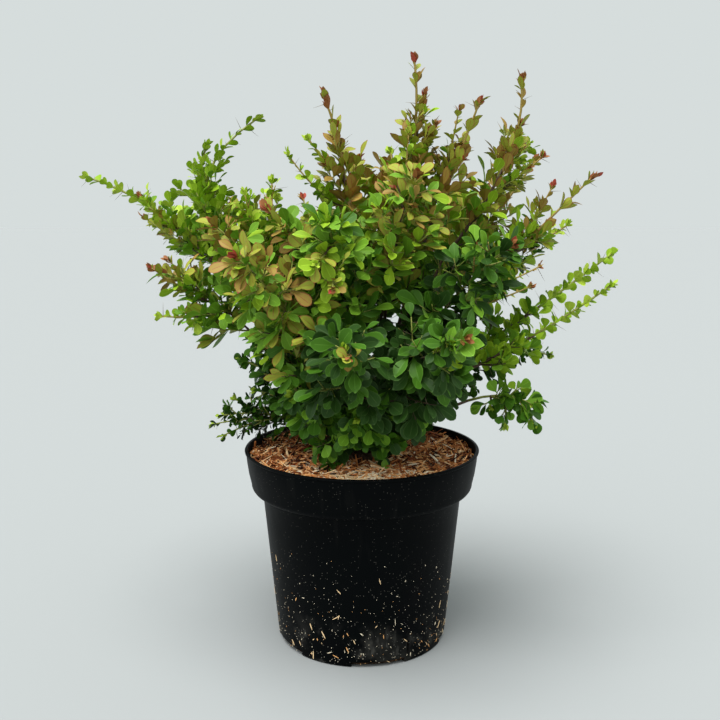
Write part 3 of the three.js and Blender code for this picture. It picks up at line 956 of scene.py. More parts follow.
    def keep(self, curve: Curve, radii: Pair, youth: float, steps: int) -> None:
        """Keep a limb.

        Args:
            curve: its line.
            radii: its radius at the foot and at the tip.
            youth: how young it is.
            steps: how many rows it is drawn in, and how many sides it has.
        """
        shares = np.linspace(0, 1, steps)
        foot, tip = radii
        self.limbs.append(Limb(curve.point(shares), foot + (tip - foot) * shares, youth, steps))

    def add_branchlets(self, twig: Curve, length: float, youth: float) -> None:
        """Stand finer twigs off a twig, on alternate sides.

        Args:
            twig: the twig's line.
            length: the twig's length.
            youth: how young the twig is.
        """
        count = int(length * BRANCHLET.filled / BRANCHLET.step)
        turn = self.between(0, math.tau)
        for k in range(count):
            share = lerp(*BRANCHLET.stretch, (k + 0.5) / count)
            side = turn + k * math.pi * BRANCHLET.half_turns
            full = length * (1 - share) * BRANCHLET.share + BRANCHLET.extra
            direction = twig.branching(share, side, RULE.lean)
            curve = self.fitted(twig.point(share), direction, full, BRANCHLET.least)
            if curve:
                self.keep(curve, BRANCHLET.radii, youth, BRANCHLET.steps)
                self.add_nodes(curve, BRANCHLET.bare, youth, False)

    def add_twigs(self) -> None:
        """Stand twigs off the axis, each turned on from the one before."""
        habit = self.habit
        count = max(3, round(self.length * (habit.twig_last - self.first) / habit.twig_step))
        turn = self.between(0, math.tau)
        lean = RULE.shoot_lean if habit.shoot else RULE.lean
        for k in range(count):
            share = lerp(self.first, habit.twig_last, k / (count - 1))
            full = self.spread * (1 - share) * self.between(*TWIG.vary) + TWIG.extra
            angle = lean + self.around(RULE.sway)
            direction = self.curve.branching(share, turn + k * GOLDEN_ANGLE, angle)
            curve = self.fitted(self.curve.point(share), direction, full, TWIG.least)
            if curve:
                length = curve.length()
                youth = self.youth_at(curve.point(1.0)) + self.around(TWIG.youth_sway)
                self.keep(curve, TWIG.radii, youth, TWIG.steps)
                self.add_nodes(curve, TWIG.bare, youth, length > TWIG.spiny)
                self.add_branchlets(curve, length, youth)
                if youth > TWIG.tuft_youth and length > TWIG.tufted:
                    self.add_tuft(curve, youth, 1.0)

    def grow(self, radii: Callable[[Array], Array]) -> None:
        """Grow the axis itself, its twigs and all leaves, and drop what leaves the space.

        Args:
            radii: the rule that gives its radius at shares of its length.
        """
        shares = np.linspace(0, 1, RULE.stem_rows + 1)
        points = self.curve.point(shares)
        half = len(shares) // 2
        halves = (slice(0, half + 1), slice(half, None))
        for part, youth in zip(halves, RULE.stem_youth):
            age = youth if self.habit.shoot else youth / 2
            self.limbs.append(Limb(points[part], radii(shares)[part], age, RULE.stem_sides))
        if self.spread:
            self.add_twigs()
        start = max(self.first, RULE.leafy_from)
        self.add_nodes(self.curve, start, self.youth_at(self.curve.point(RULE.judged_at)), True)
        self.add_tuft(self.curve, 1.0, TUFT.size + TUFT.size_by_leaf * self.habit.foot_leaf)
        far = LEAF.tested_at
        ends = np.array([leaf.foot + leaf.along * leaf.length * far for leaf in self.leaves])
        kept = self.space.holds(ends, self.over + RULE.leaf_overreach - RULE.overreach)
        self.leaves = [leaf for leaf, fits in zip(self.leaves, kept) if fits]


class MassGrowth:
    """A mass of foliage: its stem, and the shoots that stand out of it."""

    def __init__(self, plan: MassPlan, own: Curve, others: Sequence[Curve]) -> None:
        """Prepare the mass.

        Args:
            plan: its numbers.
            own: its stem.
            others: all other stems.
        """
        checks = np.linspace(0, 1, RULE.space_checks + 1)
        self.plan = plan
        self.stem = self.led_on(own)
        self.space = Space(own.point(checks), np.concatenate([c.point(checks) for c in others]))
        self.random = np.random.default_rng(int(RULE.seed + plan.bearing * plan.height))
        self.axes: list[Axis] = []

    def led_on(self, stem: Curve) -> Curve:
        """Lead the stem on to where the last of the real, shorter leaves ends.

        Args:
            stem: the source's stem.

        Returns:
            The stem with its tip moved on and its bend led aside.
        """
        end = CANES.furthest(self.plan) + np.array(self.plan.led)
        end = end + CANES.inward(self.plan) * self.plan.habit.tip_leaf * RULE.tip_leaf_share
        bend = stem.bend + (end - stem.tip) / 2 + np.array(self.plan.sway)
        return Curve(stem.foot, bend, end)

    def stem_radius(self, shares: Array) -> Array:
        """Find the stem's radius, which goes on from its cane's."""
        stout = RULE.stout if self.plan.habit.shoot else 1.0
        return CANES.radius(self.plan.enter + (1 - self.plan.enter) * shares) * stout

    def grow(self) -> None:
        """Grow the stem, then each shoot that stands out of the mass."""
        plan, space, random = self.plan, self.space, self.random
        spread = plan.spread * plan.slim
        main = Axis(self.stem, plan.habit, spread, plan.first, space, RULE.overreach, random)
        main.grow(self.stem_radius)
        self.axes = [main]
        for shoot in (shoot for shoot in SIDE_SHOOTS if shoot.mass == plan.name):
            line, first = shoot.line(self.stem), RULE.shoot_first
            axis = Axis(line, shoot.habit, shoot.spread, first, space, RULE.free_reach, random)
            axis.grow(RULE.shoot_radius)
            self.axes.append(axis)

    def gathered(self, kind: str) -> list[Limb] | list[Leaf]:
        """Gather the limbs, the spines or the leaves of all axes."""
        return [item for axis in self.axes for item in getattr(axis, kind)]


# Finishes


@dataclass(frozen=True)
class Value:
    """A shader socket that carries a number, with Python's operators."""

    tree: bpy.types.NodeTree
    socket: bpy.types.NodeSocket

    def math(self, operation: str, first: object, second: object) -> Value:
        """Add a Math node.

        Args:
            operation: its operation.
            first: its first input, a Value or a number.
            second: its second input.

        Returns:
            The node's result.
        """
        node = self.tree.nodes.new("ShaderNodeMath")
        node.operation = operation
        for socket, value in zip(node.inputs, (first, second)):
            if isinstance(value, Value):
                self.tree.links.new(value.socket, socket)
            else:
                socket.default_value = float(value)
        return Value(self.tree, node.outputs[0])

    def __add__(self, other: object) -> Value:
        """Add."""
        return self.math("ADD", self, other)

    __radd__ = __add__

    def __sub__(self, other: object) -> Value:
        """Subtract."""
        return self.math("SUBTRACT", self, other)

    def __rsub__(self, other: object) -> Value:
        """Subtract this from a number."""
        return self.math("SUBTRACT", other, self)

    def __mul__(self, other: object) -> Value:
        """Multiply."""
        return self.math("MULTIPLY", self, other)

    __rmul__ = __mul__

    def above(self, edge: float, soft: float) -> Value:
        """Make a mask that is 1 above an edge, 0 below it and soft between."""
        return self.math("MAXIMUM", self.math("MINIMUM", (self - edge) * (1 / soft), 1.0), 0.0)

    def below(self, edge: float, soft: float) -> Value:
        """Make a mask that is 1 below an edge, 0 above it and soft between."""
        return 1 - self.above(edge, soft)


class Shader:
    """A material with one Principled shader."""

    def __init__(self, name: str, roughness: float, specular: float) -> None:
        """Make the material.

        Args:
            name: its name.
            roughness: the shader's roughness.
            specular: its specular level.
        """
        self.material = bpy.data.materials.new(name)
        self.material.use_nodes = True
        self.tree = self.material.node_tree
        self.tree.nodes.clear()
        self.surface = self.node("ShaderNodeBsdfPrincipled")
        self.surface.inputs["Roughness"].default_value = roughness
        self.surface.inputs["Specular IOR Level"].default_value = specular
        output = self.node("ShaderNodeOutputMaterial")
        self.tree.links.new(self.surface.outputs[0], output.inputs["Surface"])

    def node(
        self,
        kind: str,
        settings: dict[str, object] | None = None,
        inputs: dict[str | int, object] | None = None,
    ) -> bpy.types.Node:
        """Add a node.

        Args:
            kind: its type.
            settings: its settings, which are set first.
            inputs: the values or links of its sockets.

        Returns:
            The node.
        """
        node = self.tree.nodes.new(kind)
        for name, value in (settings or {}).items():
            setattr(node, name, value)
        for name, value in (inputs or {}).items():
            self.feed(node.inputs[name], value)
        return node

    def feed(self, socket: bpy.types.NodeSocket, value: object) -> None:
        """Set a socket, or link it to a Value or another socket.

        Args:
            socket: the socket.
            value: a number, a colour, a Value or a socket.
        """
        if isinstance(value, Value):
            self.tree.links.new(value.socket, socket)
        elif isinstance(value, bpy.types.NodeSocket):
            self.tree.links.new(value, socket)
        elif isinstance(value, tuple) and len(value) == 3 and len(socket.default_value) == 4:
            socket.default_value = (*value, 1.0)
        else:
            socket.default_value = value

    def place(self, stretch: Triple = (1, 1, 1)) -> bpy.types.NodeSocket:
        """Read Object coordinates, stretched by a factor along each axis."""
        inputs = {"Vector": self.node("ShaderNodeTexCoord").outputs["Object"], "Scale": stretch}
        return self.node("ShaderNodeMapping", inputs=inputs).outputs[0]

    def height(self) -> Value:
        """Read the height above the ground, in metres."""
        split = self.node("ShaderNodeSeparateXYZ", inputs={0: self.place()})
        return Value(self.tree, split.outputs["Z"])

    def noise(self, scale: float, detail: float, stretch: Triple = (1, 1, 1)) -> Value:
        """Add a noise pattern, about 0.5 on average, on coordinates stretched along each axis."""
        inputs = {"Vector": self.place(stretch), "Scale": scale, "Detail": detail}
        return Value(self.tree, self.node("ShaderNodeTexNoise", inputs=inputs).outputs[0])

    def specks(self, scale: float) -> tuple[Value, Value]:
        """Scatter cells.

        Args:
            scale: how many cells there are to a metre.

        Returns:
            The distance from each cell's middle, and a number that is the same all over a cell.
        """
        inputs = {"Vector": self.place(), "Scale": scale}
        node = self.node("ShaderNodeTexVoronoi", inputs=inputs)
        red = self.node("ShaderNodeSeparateColor", inputs={0: node.outputs["Color"]})
        return Value(self.tree, node.outputs["Distance"]), Value(self.tree, red.outputs[0])

    def mix(self, share: object, first: object, second: object) -> bpy.types.NodeSocket:
        """Mix two colours.

        Args:
            share: the second colour's share.
            first: the first colour.
            second: the second colour.

        Returns:
            The mixed colour.
        """
        node = self.node("ShaderNodeMix", {"data_type": "RGBA"})
        for index, value in ((0, share), (6, first), (7, second)):
            self.feed(node.inputs[index], value)
        return node.outputs[2]

    def bump(self, height: Value, distance: float, strength: float = 1.0) -> None:
        """Raise the surface by a pattern.

        Args:
            height: the pattern.
            distance: how high it stands, in metres.
            strength: how strongly it shows.
        """
        inputs = {"Height": height, "Distance": distance, "Strength": strength}
        node = self.node("ShaderNodeBump", inputs=inputs)
        self.feed(self.surface.inputs["Normal"], node.outputs[0])

    def colour(self, value: object) -> None:
        """Set the base colour."""
        self.feed(self.surface.inputs["Base Color"], value)

    def roughness(self, value: object) -> None:
        """Set the roughness."""
        self.feed(self.surface.inputs["Roughness"], value)


@dataclass(frozen=True)
class PlainFinish:
    """A finish of one plain colour, for small things that are dealt several such colours."""

    name: str
    colour: Colour
    roughness: float
    specular: float = 0.4

    def material(self) -> bpy.types.Material:
        """Make the material, once.

        Returns:
            The material.
        """
        found = bpy.data.materials.get(self.name)
        if found:
            return found
        shader = Shader(self.name, self.roughness, self.specular)
        shader.colour(self.colour)
        return shader.material


def plain_finishes(kind: str, tones: type[Enum], *gloss: float) -> list[PlainFinish]:
    """List a plain finish for each colour of a kind, with its roughness and specular level."""
    return [PlainFinish(f"{kind}_{t.name.lower()}", srgb(t.value), *gloss) for t in tones]


@dataclass(frozen=True)
class PotPlastic:
    """Black moulded plastic with fine scuffs, dust on its lower part and pale specks.

    A pattern is a scale, a detail and a stretch. An edge tells where a mask begins and over how
    much it fades, and dusty and speckled are edges in metres above the ground. dust_share and
    speck_share are what is there anyway, and what a mask adds. dull is the roughness of clean
    plastic, and what dust and streaks add, and relief how high the bump is and its strength.
    """

    black: Colour = srgb("020405")
    dust: Colour = srgb("8a877f")
    speck: Colour = srgb("b3aea2")
    gloss: Pair = (0.45, 0.045)
    cloud: Pair = (24, 6)
    cloud_edge: Pair = (0.5, 0.16)
    streaks: Pattern = (90, 4, (1, 1, 0.08))
    streak_edge: Pair = (0.6, 0.2)
    streak_share: float = 0.012
    streak_relief: float = 0.4
    scuffs: Pattern = (170, 3, (1, 1, 0.3))
    scuff_edge: Pair = (0.5, 0.12)
    dusty: Pair = (0.008, 0.05)
    dust_share: Pair = (0.12, 0.3)
    speck_scale: float = 520
    speck_edge: Pair = (0.14, 0.12)
    speck_rare: Pair = (0.86, 0.02)
    speckled: Pair = (0.02, 0.12)
    speck_share: Pair = (0.16, 0.6)
    dull: Triple = (0.40, 1.1, 0.14)
    relief: Pair = (0.0003, 0.5)

    def material(self) -> bpy.types.Material:
        """Make the material.

        Returns:
            The material.
        """
        shader = Shader("pot_plastic", *self.gloss)
        height = shader.height()
        cloud = shader.noise(*self.cloud)
        streaks = shader.noise(*self.streaks)
        scuffs = shader.noise(*self.scuffs)
        least, more = self.dust_share
        low = height.below(*self.dusty) * cloud.above(*self.cloud_edge)
        haze = low * (least + more * scuffs.above(*self.scuff_edge))
        film = haze + streaks.above(*self.streak_edge) * self.streak_share
        base = shader.mix(film, self.black, self.dust)
        distance, cell = shader.specks(self.speck_scale)
        dots = distance.below(*self.speck_edge) * cell.above(*self.speck_rare)
        least, more = self.speck_share
        mask = dots * (least + more * height.below(*self.speckled))
        shader.colour(shader.mix(mask, base, self.speck))
        clean, dusted, streaked = self.dull
        shader.roughness(clean + film * dusted + streaks * streaked)
        shader.bump(streaks * self.streak_relief + cloud + mask, *self.relief)
        return shader.material


@dataclass(frozen=True)
class GroundFinish:
    """Loose, damp ground: a fine grain mixes two colours and roughens the surface.

    grain and patches are each a scale and a detail, and relief is in metres.
    """

    name: str
    dark: Colour
    light: Colour
    gloss: Pair
    grain: Pair
    edge: Pair
    relief: float
    patches: Pair | None = None

    def material(self) -> bpy.types.Material:
        """Make the material.

        Returns:
            The material.
        """
        shader = Shader(self.name, *self.gloss)
        grain = shader.noise(*self.grain)
        height = grain + shader.noise(*self.patches) if self.patches else grain
        shader.colour(shader.mix(grain.above(*self.edge), self.dark, self.light))
        shader.bump(height, self.relief)
        return shader.material


# The dark, damp bed that the loose chips lie on
MULCH_BED = GroundFinish(
    "mulch_bed", srgb("1c0e09"), srgb("4a2a18"), (0.95, 0.2), (220, 5), (0.4, 0.3), 0.002, (40, 3)
)
# Moist dark compost held together by roots
COMPOST = GroundFinish(
    "compost", srgb("1c130d"), srgb("4a3423"), (1.0, 0.15), (180, 6), (0.42, 0.25), 0.0015
)


@dataclass(frozen=True)
class BarkFinish:
    """Grey-brown bark of old canes, with darker furrows.

    least is the least share of the ridges' own colour that they keep where patches darken them.
    """

    furrow: Colour = srgb("2b1d14")
    ridge: Colour = srgb("7a624b")
    gloss: Pair = (0.85, 0.25)
    furrows: Pattern = (420, 4, (1, 1, 0.16))
    edge: Pair = (0.38, 0.3)
    patches: Pair = (60, 3)
    least: float = 0.4
    relief: float = 0.0008

    def material(self) -> bpy.types.Material:
        """Make the material.

        Returns:
            The material.
        """
        shader = Shader("cane_bark", *self.gloss)
        lines = shader.noise(*self.furrows)
        patches = shader.noise(*self.patches)
        share = lines.above(*self.edge) * (self.least + (1 - self.least) * patches)
        shader.colour(shader.mix(share, self.furrow, self.ridge))
        shader.bump(lines, self.relief)
        return shader.material


# Meshes


def add_object(name: str, data: bpy.types.ID) -> bpy.types.Object:
    """Add an object to the scene.

    Args:
        name: its name.
        data: its mesh, light or camera.

    Returns:
        The object.
    """
    thing = bpy.data.objects.new(name, data)
    bpy.context.scene.collection.objects.link(thing)
    return thing


@dataclass
class Joined:
    """Small shapes that are repeated hundreds of times, joined in one mesh from arrays."""

    vertices: list[Array] = field(default_factory=list)
    faces: list[Face] = field(default_factory=list)
    slots: list[int] = field(default_factory=list)
    count: int = 0

    def join(self, vertices: Array, faces: Sequence[Face], slots: Sequence[int]) -> None:
        """Join one shape.

        Args:
            vertices: its vertices, in millimetres.
            faces: its faces, counted from its own first vertex.
            slots: the number of each face's finish.
        """
        self.vertices.append(vertices)
        self.faces += [tuple(self.count + v for v in face) for face in faces]
        self.slots += slots
        self.count += len(vertices)

    def make(
        self, name: str, finishes: Sequence[PlainFinish | BarkFinish], smooth: bool = True
    ) -> bpy.types.Object:
        """Make the piece, with the finishes that its faces use.

        Args:
            name: the piece's name.
            finishes: all finishes, in the order of their numbers.
            smooth: whether it is shaded smooth.

        Returns:
            The piece.
        """
        used = sorted(set(self.slots))
        mesh = bpy.data.meshes.new(name)
        mesh.from_pydata((np.concatenate(self.vertices) * MM).tolist(), [], self.faces)
        for slot in used:
            mesh.materials.append(finishes[slot].material())
        order = np.searchsorted(used, self.slots).astype(np.int32)
        mesh.polygons.foreach_set("material_index", order)
        mesh.polygons.foreach_set("use_smooth", np.full(len(self.faces), smooth))
        mesh.update()
        return add_object(name, mesh)


def ring_faces(rows: int, sides: int) -> list[Face]:
    """Join rings of vertices in a tube, closed by a face at each end.

    Args:
        rows: how many rings there are.
        sides: how many vertices a ring has.

    Returns:
        The faces.
    """
    top = (rows - 1) * sides
    faces: list[Face] = []
    for low in range(0, top, sides):
        for k in range(sides):
            after = (k + 1) % sides
            faces.append((low + k, low + after, low + sides + after, low + sides + k))
    return faces + [tuple(reversed(range(sides))), tuple(range(top, top + sides))]


def tube(limb: Limb) -> tuple[Array, list[Face]]:
    """Shape a limb as a tapering tube, closed by a face at each end.

    Args:
        limb: the limb.

    Returns:
        Its vertices, row by row, and its faces.
    """
    points, sides = limb.points, limb.sides
    slopes = unit(np.gradient(points, axis=0))
    side = sideways_of(points[-1] - points[0])
    square = unit(side - slopes * (slopes @ side)[:, None])
    other = np.cross(slopes, square)
    turns = np.arange(sides) * math.tau / sides
    ring = square[:, None] * np.cos(turns)[None, :, None]
    ring = ring + other[:, None] * np.sin(turns)[None, :, None]
    vertices = (points[:, None] + ring * limb.radii[:, None, None]).reshape(-1, 3)
    return vertices, ring_faces(len(points), sides)


@dataclass(frozen=True)
class LeafBlade:
    """The outline of an obovate leaf: stations along it and its half width at each.

    Both are in shares, of the length and of the width. columns are the places of its rows of
    vertices across, fold is how far the edges are raised and curl how far the tip bends down.
    Each leaf draws its own share of both.
    """

    columns: tuple[float, ...] = (-1, 0, 1)
    stations: tuple[Pair, ...] = (
        (0.0, 0.03),
        (0.14, 0.06),
        (0.34, 0.28),
        (0.54, 0.45),
        (0.7, 0.5),
        (0.85, 0.42),
        (0.95, 0.23),
    )
    fold: float = 0.22
    fold_range: Pair = (0.4, 1.7)
    curl: float = 0.16
    curl_range: Pair = (-0.5, 1.9)

    @property
    def size(self) -> int:
        """Count the vertices of one leaf."""
        return len(self.stations) * len(self.columns) + 1

    def faces(self) -> tuple[list[Face], list[bool]]:
        """List the faces of one leaf, and tell which lie in its margin or on its midrib.

        Returns:
            The faces, and True for each that does, on a leaf with enough columns for both.
        """
        across = len(self.columns)
        faces: list[Face] = []
        margin: list[bool] = []
        for row in range(len(self.stations)):
            for column in range(across - 1):
                low = row * across + column
                if row < len(self.stations) - 1:
                    faces.append((low, low + 1, low + across + 1, low + across))
                else:
                    faces.append((low, low + 1, self.size - 1))
                outer = column in (0, across - 2) or row == len(self.stations) - 1
                rib = column == across // 2 - 1 and row < len(self.stations) - 2
                margin.append(across > 3 and (outer or rib))
        return faces, margin

    def vertices(self, leaves: Sequence[Leaf], random: np.random.Generator) -> Array:
        """Place the vertices of many leaves.

        Args:
            leaves: the leaves.
            random: the stream that their small differences are drawn from.

        Returns:
            The vertices as (leaf, vertex, xyz), in millimetres.
        """
        count = len(leaves)
        foot, along, face = (
            np.array([getattr(leaf, key) for leaf in leaves]) for key in ("foot", "along", "face")
        )
        length = np.array([leaf.length for leaf in leaves])[:, None]
        width = np.array([leaf.width for leaf in leaves])[:, None] * length
        fold = random.uniform(*self.fold_range, (count, 1)) * self.fold
        curl = random.uniform(*self.curl_range, (count, 1)) * self.curl
        across = np.cross(along, face)
        points: list[Array] = []
        for share, half in self.stations:
            line = foot + along * share * length - face * curl * share**2 * length
            for side in self.columns:
                out = across * side * half * width
                points.append(line + out + face * fold * abs(side) * half * width)
        points.append(foot + along * length - face * curl * length)
        return np.stack(points, axis=1)


@dataclass(frozen=True)
class LeafPiece:
    """A piece of many leaves: small plain ones, and large ones with a margin and a midrib.

    Both are paler than the blade, or flushed with red on bronze leaves. Narrow leaves end in a
    point, and broad ones are round.
    """

    large: float = 15.0
    narrow: float = 0.52
    ribbed: tuple[float, ...] = (-1, -0.86, -0.045, 0.045, 0.86, 1)
    pointed: tuple[Pair, ...] = (
        (0.0, 0.03),
        (0.14, 0.09),
        (0.32, 0.29),
        (0.5, 0.46),
        (0.64, 0.5),
        (0.8, 0.39),
        (0.92, 0.17),
    )
    pale: Colour = srgb("cdd59a")
    pale_share: float = 0.03
    edge_gain: float = 1.3
    flushed: tuple[tuple[Tint, str], ...] = (
        (Tint.OLIVE, "9a6c3a"),
        (Tint.BRONZE, "8f5236"),
        (Tint.COPPER, "87402f"),
    )
    gloss: Pair = (0.45, 0.12)

    def edge_of(self, tint: Tint) -> Colour:
        """Find the colour of the margin and midrib of leaves of one colour.

        Args:
            tint: the leaves' colour.

        Returns:
            The margin's colour.
        """
        flushed = dict(self.flushed)
        if tint in flushed:
            return srgb(flushed[tint])
        mixed = zip(srgb(tint.value), self.pale)
        return tuple(c * self.edge_gain + p * self.pale_share for c, p in mixed)

    def finishes(self) -> list[PlainFinish]:
        """List the finishes of all blades, then those of their margins."""
        edges = [PlainFinish(f"edge_{t.name.lower()}", self.edge_of(t), *self.gloss) for t in Tint]
        return plain_finishes("leaf", Tint, *self.gloss) + edges

    def build(self, name: str, leaves: Sequence[Leaf], seed: int) -> bpy.types.Object:
        """Join many leaves in one piece, dealt their plain colours.

        Args:
            name: the piece's name.
            leaves: the leaves.
            seed: the start of its random stream.

        Returns:
            The piece.
        """
        random = np.random.default_rng(seed)
        tints = list(Tint)
        joined = Joined()
        for kind in ((False, False), (False, True), (True, False), (True, True)):
            chosen = [e for e in leaves if (e.length >= self.large, e.width < self.narrow) == kind]
            if not chosen:
                continue
            is_large, is_narrow = kind
            blade = LeafBlade(columns=self.ribbed) if is_large else LeafBlade()
            if is_narrow:
                blade = replace(blade, stations=self.pointed)
            faces, margin = blade.faces()
            for leaf, vertices in zip(chosen, blade.vertices(chosen, random)):
                slot = tints.index(leaf.tint)
                joined.join(vertices, faces, [slot + len(tints) * edge for edge in margin])
        return joined.make(name, self.finishes())


class StemTone(Enum):
    """The plain colours of twigs, from old wood to new growth, and of spines."""

    OLD = "4d3a28"
    GREEN = "868c3e"
    BRONZE = "94803c"
    SPINE = "6f5f4a"


@dataclass
class Limbs(Joined):
    """Many tapering limbs joined in one mesh."""

    roughness: float = 0.6

    def add(self, limb: Limb, tone: StemTone) -> None:
        """Add one limb in its colour."""
        vertices, faces = tube(limb)
        self.join(vertices, faces, [list(StemTone).index(tone)] * len(faces))

    def piece(self, name: str) -> bpy.types.Object:
        """Make the piece."""
        return self.make(name, plain_finishes("stem", StemTone, self.roughness))


class ChipTone(Enum):
    """The plain colours of the bark chips."""

    DARK = "38190f"
    BROWN = "894c2b"
    RUST = "c67e48"
    TAN = "f6b878"
    STRAW = "ffdcaa"
    PALE = "fff0d2"


@dataclass(kw_only=True)
class Slivers(Joined):
    """Many slivers of shredded bark joined in one mesh.

    taper is how wide a sliver's ends are, as a share of its middle, drawn from the stream random.
    """

    random: np.random.Generator
    taper: Pair = (0.25, 0.8)
    gloss: Pair = (0.85, 0.2)

    def add(
        self, middle: Array, along: Array, face: Array, size: Triple, bow: float, tone: ChipTone
    ) -> None:
        """Add one sliver.

        Args:
            middle: its middle.
            along: the direction it lies in.
            face: the direction its flat side faces.
            size: its length, width and thickness.
            bow: how far its middle stands up.
            tone: its colour.
        """
        across = np.cross(along, face)
        long, wide, thick = size
        ends = self.random.uniform(*self.taper, 2)
        rows = []
        for share, narrow, lift in ((-0.5, ends[0], 0), (0, 1, bow), (0.5, ends[1], 0)):
            centre = middle + along * share * long + face * lift
            out, up = across * wide * narrow / 2, face * thick / 2
            rows += [centre - out - up, centre + out - up, centre + out + up, centre - out + up]
        faces = ring_faces(3, 4)
        self.join(np.array(rows), faces, [list(ChipTone).index(tone)] * len(faces))

    def piece(self, name: str) -> bpy.types.Object:
        """Make the piece."""
        return self.make(name, plain_finishes("chip", ChipTone, *self.gloss), smooth=False)


def deselect_all() -> None:
    """Leave nothing selected, as an operator acts on all that is."""
    bpy.ops.object.select_all(action="DESELECT")


def select_only(piece: bpy.types.Object) -> None:
    """Select one piece alone, and make it the active one.

    Args:
        piece: the piece.
    """
    deselect_all()
    piece.select_set(True)
    bpy.context.view_layer.objects.active = piece


def edit_mesh() -> None:
    """Go into edit mode with everything selected."""
    bpy.ops.object.mode_set(mode="EDIT")
    bpy.ops.mesh.select_all(action="SELECT")


def close_edit() -> None:
    """Turn all faces outwards and leave edit mode."""
    bpy.ops.mesh.select_all(action="SELECT")
    bpy.ops.mesh.normals_make_consistent(inside=False)
    bpy.ops.object.mode_set(mode="OBJECT")


def raised(name: str, sides: int, rings: Sequence[Pair]) -> bpy.types.Object:
    """Raise a round shape from a disc, by extruding its cap from ring to ring.

    Args:
        name: the piece's name.
        sides: how many sides the disc has.
        rings: (radius, height) of each ring, in millimetres.

    Returns:
        The piece, with its object at the origin.
    """
    deselect_all()
    radius, height = rings[0]
    bpy.ops.mesh.primitive_circle_add(
        vertices=sides, radius=radius * MM, fill_type="NGON", location=(0, 0, height * MM)
    )
    piece = bpy.context.object
    piece.name = name
    piece.data.name = name
    edit_mesh()
    for next_radius, next_height in rings[1:]:
        bpy.ops.mesh.extrude_region_move(
            TRANSFORM_OT_translate={"value": (0, 0, (next_height - height) * MM)}
        )
        factor = next_radius / radius
        bpy.ops.transform.resize(value=(factor, factor, 1))
        radius, height = next_radius, next_height
    close_edit()
    select_only(piece)
    bpy.ops.object.transform_apply(location=True, rotation=True, scale=True)
    return piece


def ride(piece: bpy.types.Object, slot: str, *nodes: str) -> bpy.types.Object:
    """Let a piece ride on the body.

    Args:
        piece: the piece.
        slot: its material slot; not used.
        nodes: the nodes that it stands for.

    Returns:
        The piece.
    """
    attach(piece, BODY)
    if nodes:
        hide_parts(*nodes)
    LOG.info("%s: %d faces", piece.name, len(piece.data.polygons))
    return piece


# Sub-assemblies


@dataclass(frozen=True)
class Bits:
    """One kind of bark bit that sticks to the pot.

    A bit's length is drawn with gamma, a shape and a scale, and added to least, up to most.
    """

    count: int
    least: float
    most: float
    gamma: Pair
    width: Pair
    thick: float
    tones: tuple[ChipTone, ...]


